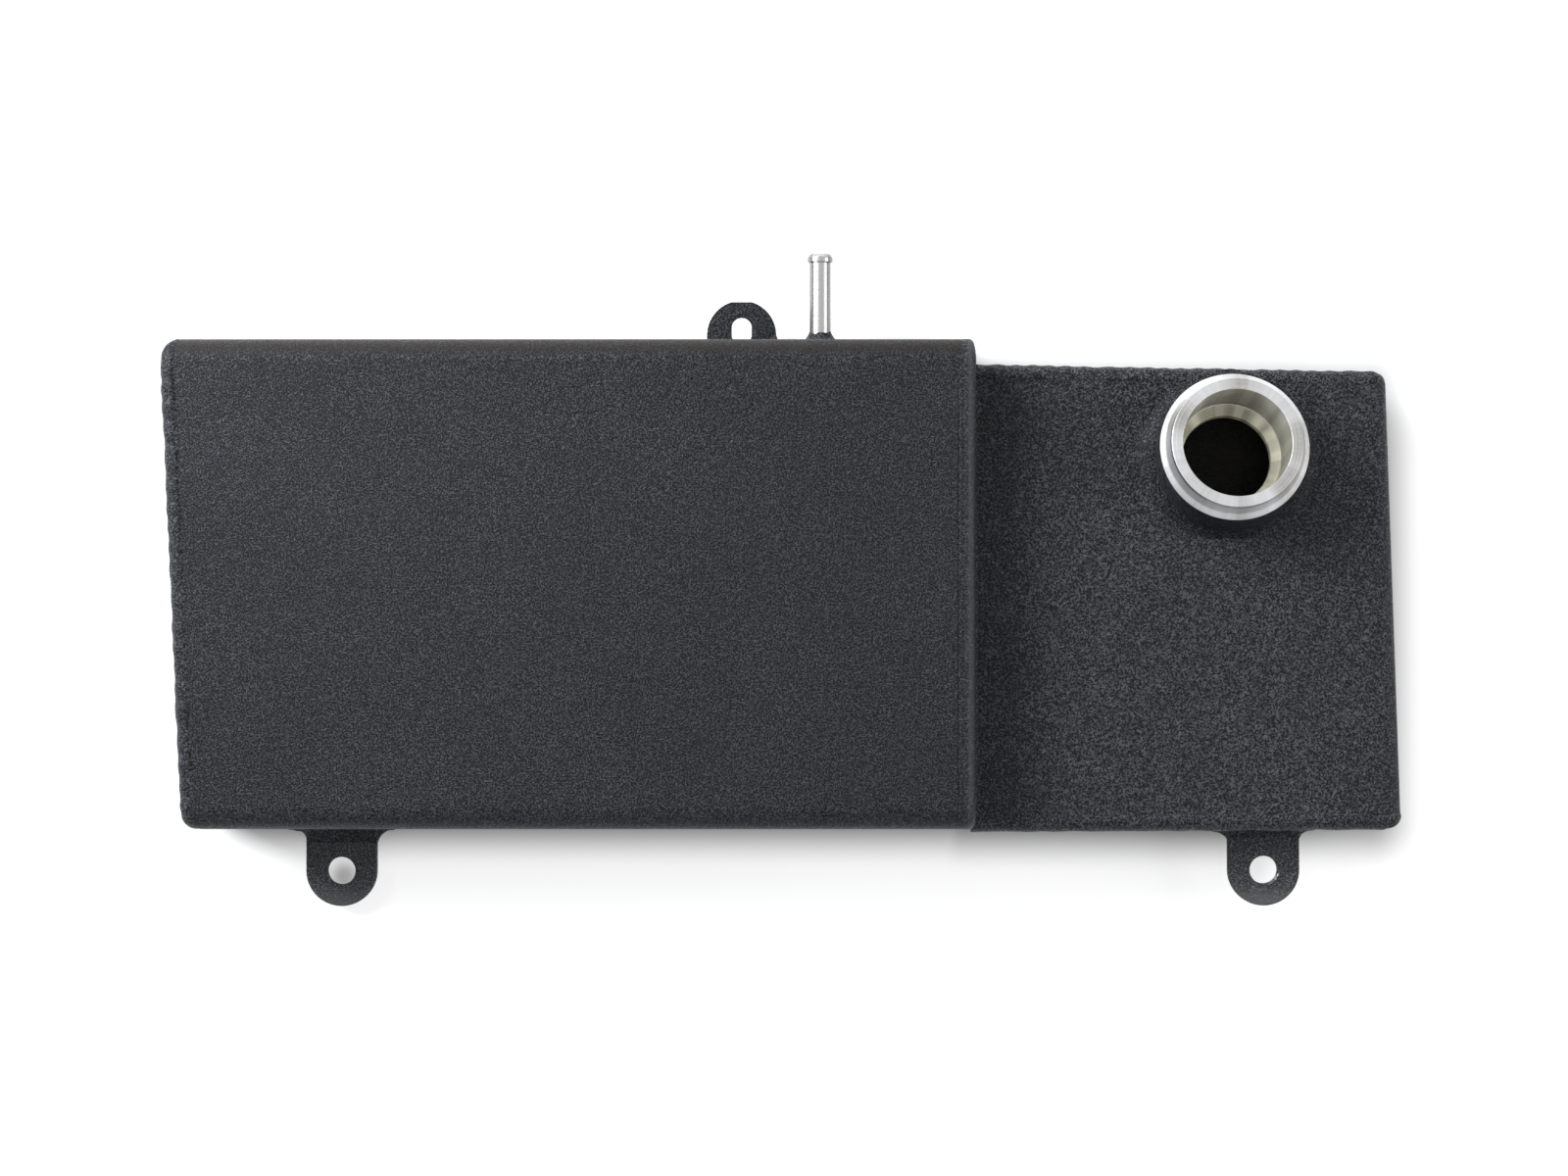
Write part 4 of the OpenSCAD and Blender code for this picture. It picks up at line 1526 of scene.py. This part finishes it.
@dataclass
class Tab:
    """A mounting tab with its edges rounded by the coat, and the weld at its root."""

    node: str
    left: Flare
    right: Flare
    leg: float = 9.5
    rise: float = 7.0
    below: float = 1.4
    upward: bool = False
    slot_half: float = 0.0
    chip_r: float = 0.0
    # scales the tab's coat colours, to paint light on it
    tone: float = 1.0
    pace: float = 0.45
    # the tab's coat colours, lighter than the tank's coat: painted light
    dark: Tuple[float, float, float] = (0.035, 0.036, 0.040)
    light: Tuple[float, float, float] = (0.265, 0.275, 0.295)
    edge_r: float = 0.8
    edge_steps: int = 4
    slot_rim: float = 0.9
    slot_edge: float = 1.2
    slot_drop: float = 3.3
    slot_wall: float = 0.4

    def __post_init__(self) -> None:
        """Reads the tab's place from the frame."""
        self.low, self.high = low_corner(self.node), high_corner(self.node)
        self.centre_x = (self.low.x + self.high.x) / 2
        self.half = (self.high.x - self.low.x) / 2
        self.thick = self.high.z - self.low.z

    def build_tab(self, coat: bpy.types.Material) -> None:
        """Rounds the tab's edges.

        Args:
            coat: the common finish.
        """
        if not self.upward:
            hole = (self.centre_x, self.low.y + self.half, self.chip_r) if self.chip_r else None
            # painted highlight over the tab's end, from past the hole's centre to the tip
            end = (self.low.y + self.half * 0.7, self.low.y)
            # the tab's coat is a lighter copy, scaled by tone: painted light
            low, high = (tuple(v * self.tone for v in shade) + (1.0,) for shade in (self.dark, self.light))
            coat = WrinkleCoat(name=f"{self.node}_coat", low=low, high=high, chip=hole, painted_end_highlight=end).build()
        bm = softened(self.node, self.edge_r, self.edge_steps)
        if self.slot_half:
            inside = [v for v in bm.verts if abs(v.co.x - self.centre_x) < self.slot_half + self.slot_rim]
            edge = self.low.y + self.slot_edge
            foot = min(v.co.y for v in inside if v.co.y > edge)
            for vert in inside:
                if edge < vert.co.y < foot + self.slot_half:
                    vert.co.y -= min(self.slot_drop, foot - self.low.y - self.slot_wall)
        finished(bm, f"{self.node}_plate", coat, [self.node])

    def build_weld(self, coat: bpy.types.Material) -> None:
        """Sweeps the weld along the wall, over the tab's face and out past both its sides.

        Args:
            coat: finish of the weld.
        """
        out = Y_AXIS if self.upward else -Y_AXIS
        wall = self.low.y if self.upward else self.high.y
        start = self.centre_x - self.half - self.left.spread - self.left.tail
        whole = self.centre_x + self.half + self.right.spread + self.right.tail - start
        count = int(whole / self.pace)
        places = [
            (Vector((start + whole * k / count, wall, self.low.z)), out, Z_AXIS) for k in range(count + 1)
        ]
        laid(swept(with_runs(places), self.section), self.node, coat)

    def section(self, station: Station) -> List[Point]:
        """Outline of the weld: over the tab's face, round its side or across the open slot.

        Args:
            station: a place along the wall.

        Returns:
            The outline.
        """
        x = station.point.x - self.centre_x
        flare = self.left if x < 0 else self.right
        away = abs(x) - self.half
        across = min(1.0, max(0.0, 0.5 + x / self.half))
        lumps = self.left.lumps + (self.right.lumps - self.left.lumps) * across
        lump = lumps * bead_height(station.run, 4.0 + self.centre_x, 4.5)
        share = min(1.0, max(0.0, 1 - away / (flare.spread + flare.tail)))
        beside = min(1.0, max(0.0, (away + 3.0) / 3.0))
        face = self.leg + (flare.foot + flare.drop - self.leg) * beside ** 2
        reach = (flare.reach(away) if away > 0 else face) + lump * share
        rise = (self.rise + lump) * share ** 0.8
        if self.slot_half > 0 and abs(x) < self.slot_half + 0.3:
            reach, rise = 0.3, -self.thick / 2
        reach = max(reach, 0.1)
        sink = 0.2 if away < 0.4 else 0.0
        side = min(reach, 0.6)
        edge, below = reach + 0.25 * side, -self.below * share
        points = [(-0.5, self.thick + rise)] + hollow(reach, rise + sink, self.thick - sink)
        points += [(edge, self.thick - 0.9), (edge, 0.9), (reach - side * 0.3, 0.1)]
        return points + [(reach * 0.4, below * 0.4), (0.0, below), (-0.5, below)]

    def build(self, coat: bpy.types.Material, bead_coat: bpy.types.Material) -> None:
        """Builds the tab and its weld.

        Args:
            coat: finish of the tab.
            bead_coat: finish of the weld.
        """
        self.build_tab(coat)
        self.build_weld(bead_coat)


@dataclass(frozen=True)
class Lamp:
    """A soft box, with its place and size in metres and its power in watts."""

    name: str
    place: Tuple[float, float, float]
    size: Point
    power: float
    tint: Tuple[float, float, float]

    def hang(self, target: Vector) -> None:
        """Hangs the lamp.

        Args:
            target: the place that it faces, in metres.
        """
        data = bpy.data.lights.new(self.name, "AREA")
        data.shape = "RECTANGLE"
        data.size, data.size_y = self.size
        data.energy = self.power
        data.color = self.tint
        made = bpy.data.objects.new(self.name, data)
        made.location = self.place
        made.rotation_euler = (target - Vector(self.place)).to_track_quat("-Z", "Y").to_euler()
        bpy.context.scene.collection.objects.link(made)
        log.info("lamp %s", self.name)


@dataclass
class Studio:
    """White floor, soft lamps and the camera straight above."""

    camera_at: Tuple[float, float, float] = (0.0768, -0.0014, 1.150)
    lens: float = 68.69
    target: Tuple[float, float, float] = (0.078, 0.0, 0.03)
    floor_size: float = 8.0
    fill: float = 0.18
    sheen: float = 0.85
    low_sheen: float = 0.42
    sky_reach: float = 0.8
    sensor: float = 36.0
    clip: Point = (0.01, 50.0)
    # plates and tabs round which painted shadow is laid on the floor, with the spots' strengths and how far
    # towards -Y from each hole they lie
    plates: Tuple[str, ...] = ("main_back_plate", "side_back_plate")
    shadow_spots: Tuple[Tuple[str, float], ...] = (("left_tab", 0.62), ("right_tab", 0.2))
    shadow_spot_drop: float = 3.0
    lamps: Tuple[Lamp, ...] = (
        Lamp("left_box", (-0.50, 0.42, 0.52), (0.6, 0.5), 11.2, (0.95, 0.98, 1.0)),
        Lamp("right_box", (0.98, 0.0, 0.50), (0.6, 0.5), 2.6, (0.98, 0.99, 1.0)),
        Lamp("far_box", (0.05, 1.15, 0.30), (1.3, 0.4), 2.0, (1.0, 0.95, 0.90)),
    )

    def build_floor(self) -> None:
        """Lays the white floor that the tank rests on, with painted shadow round the back plates and under
        the lower tabs' holes.
        """
        bm = bmesh.new()
        bmesh.ops.create_grid(bm, x_segments=2, y_segments=2, size=self.floor_size / 2)
        mesh = bpy.data.meshes.new("floor")
        bm.to_mesh(mesh)
        bm.free()
        # painted shadow round the back plates and under the lower tabs' holes
        corners = [(low_corner(node), high_corner(node)) for node in self.plates]
        shadow_boxes = tuple((low.x, low.y, high.x, high.y) for low, high in corners)
        shadow_spots = []
        for node, dim in self.shadow_spots:
            low, high = low_corner(node), high_corner(node)
            shadow_spots.append(((low.x + high.x) / 2, low.y + (high.x - low.x) / 2 - self.shadow_spot_drop, dim))
        mesh.materials.append(StudioWhite(shadow_boxes=shadow_boxes, shadow_spots=tuple(shadow_spots)).build())
        floor = bpy.data.objects.new("floor", mesh)
        bpy.context.scene.collection.objects.link(floor)

    def build_world(self) -> None:
        """Surrounds the scene with even light that shows white."""
        graph = Graph("studio", world=True)
        camera, mirrored = graph.rays()
        _, _, up = graph.axes(graph.node("ShaderNodeTexCoord", output="Generated"))
        sky = up.ease(0.0, self.sky_reach) * (self.sheen - self.low_sheen) + self.low_sheen
        bright = mirrored * (sky - self.fill) + self.fill
        strength = camera * (1 - bright) + bright
        background = graph.node("ShaderNodeBackground", inputs={"Color": WHITE, "Strength": strength})
        bpy.context.scene.world = graph.finish(background)

    def build_camera(self) -> None:
        """Hangs the camera straight above the tank."""
        data = bpy.data.cameras.new("camera")
        data.sensor_width = self.sensor
        data.lens = self.lens
        data.clip_start, data.clip_end = self.clip
        made = bpy.data.objects.new("camera", data)
        made.location = self.camera_at
        bpy.context.scene.collection.objects.link(made)
        bpy.context.scene.camera = made

    def build(self) -> None:
        """Builds the studio."""
        self.build_floor()
        for lamp in self.lamps:
            lamp.hang(Vector(self.target))
        self.build_world()
        self.build_camera()
        bpy.context.scene.view_settings.view_transform = "Standard"


def main() -> None:
    """Builds the tank's pieces and the studio."""
    logging.basicConfig(level=logging.INFO, format="%(message)s")
    chambers = Chambers()
    chambers.build()
    for fitting in (FillerNeck(), VentNipple(), OutletBoss()):
        fitting.build(chambers.bead_coat)
    for tab in (
        Tab(
            "left_tab",
            left=Flare(spread=5.8, drop=3.0, foot=4.2, lumps=0.5),
            right=Flare(spread=5.8, drop=6.3, foot=4.2),
            # the left tab's coat is lighter still: painted light against the main chamber's shade
            tone=1.4,
        ),
        Tab(
            "right_tab",
            left=Flare(spread=9.0, drop=3.8, foot=2.4),
            right=Flare(spread=4.4, drop=3.6, foot=2.4),
            leg=5.5,
            rise=5.0,
            chip_r=5.25,
        ),
        Tab(
            "top_tab",
            left=Flare(spread=0.4, drop=0.4, foot=2.0),
            right=Flare(spread=1.3, drop=3.0, foot=2.0),
            leg=3.0,
            rise=4.0,
            upward=True,
            slot_half=3.75,
        ),
    ):
        tab.build(chambers.coat, chambers.bead_coat if tab.upward else chambers.lit_side_bead_coat)
    Studio().build()


if __name__ == "__main__":
    main()
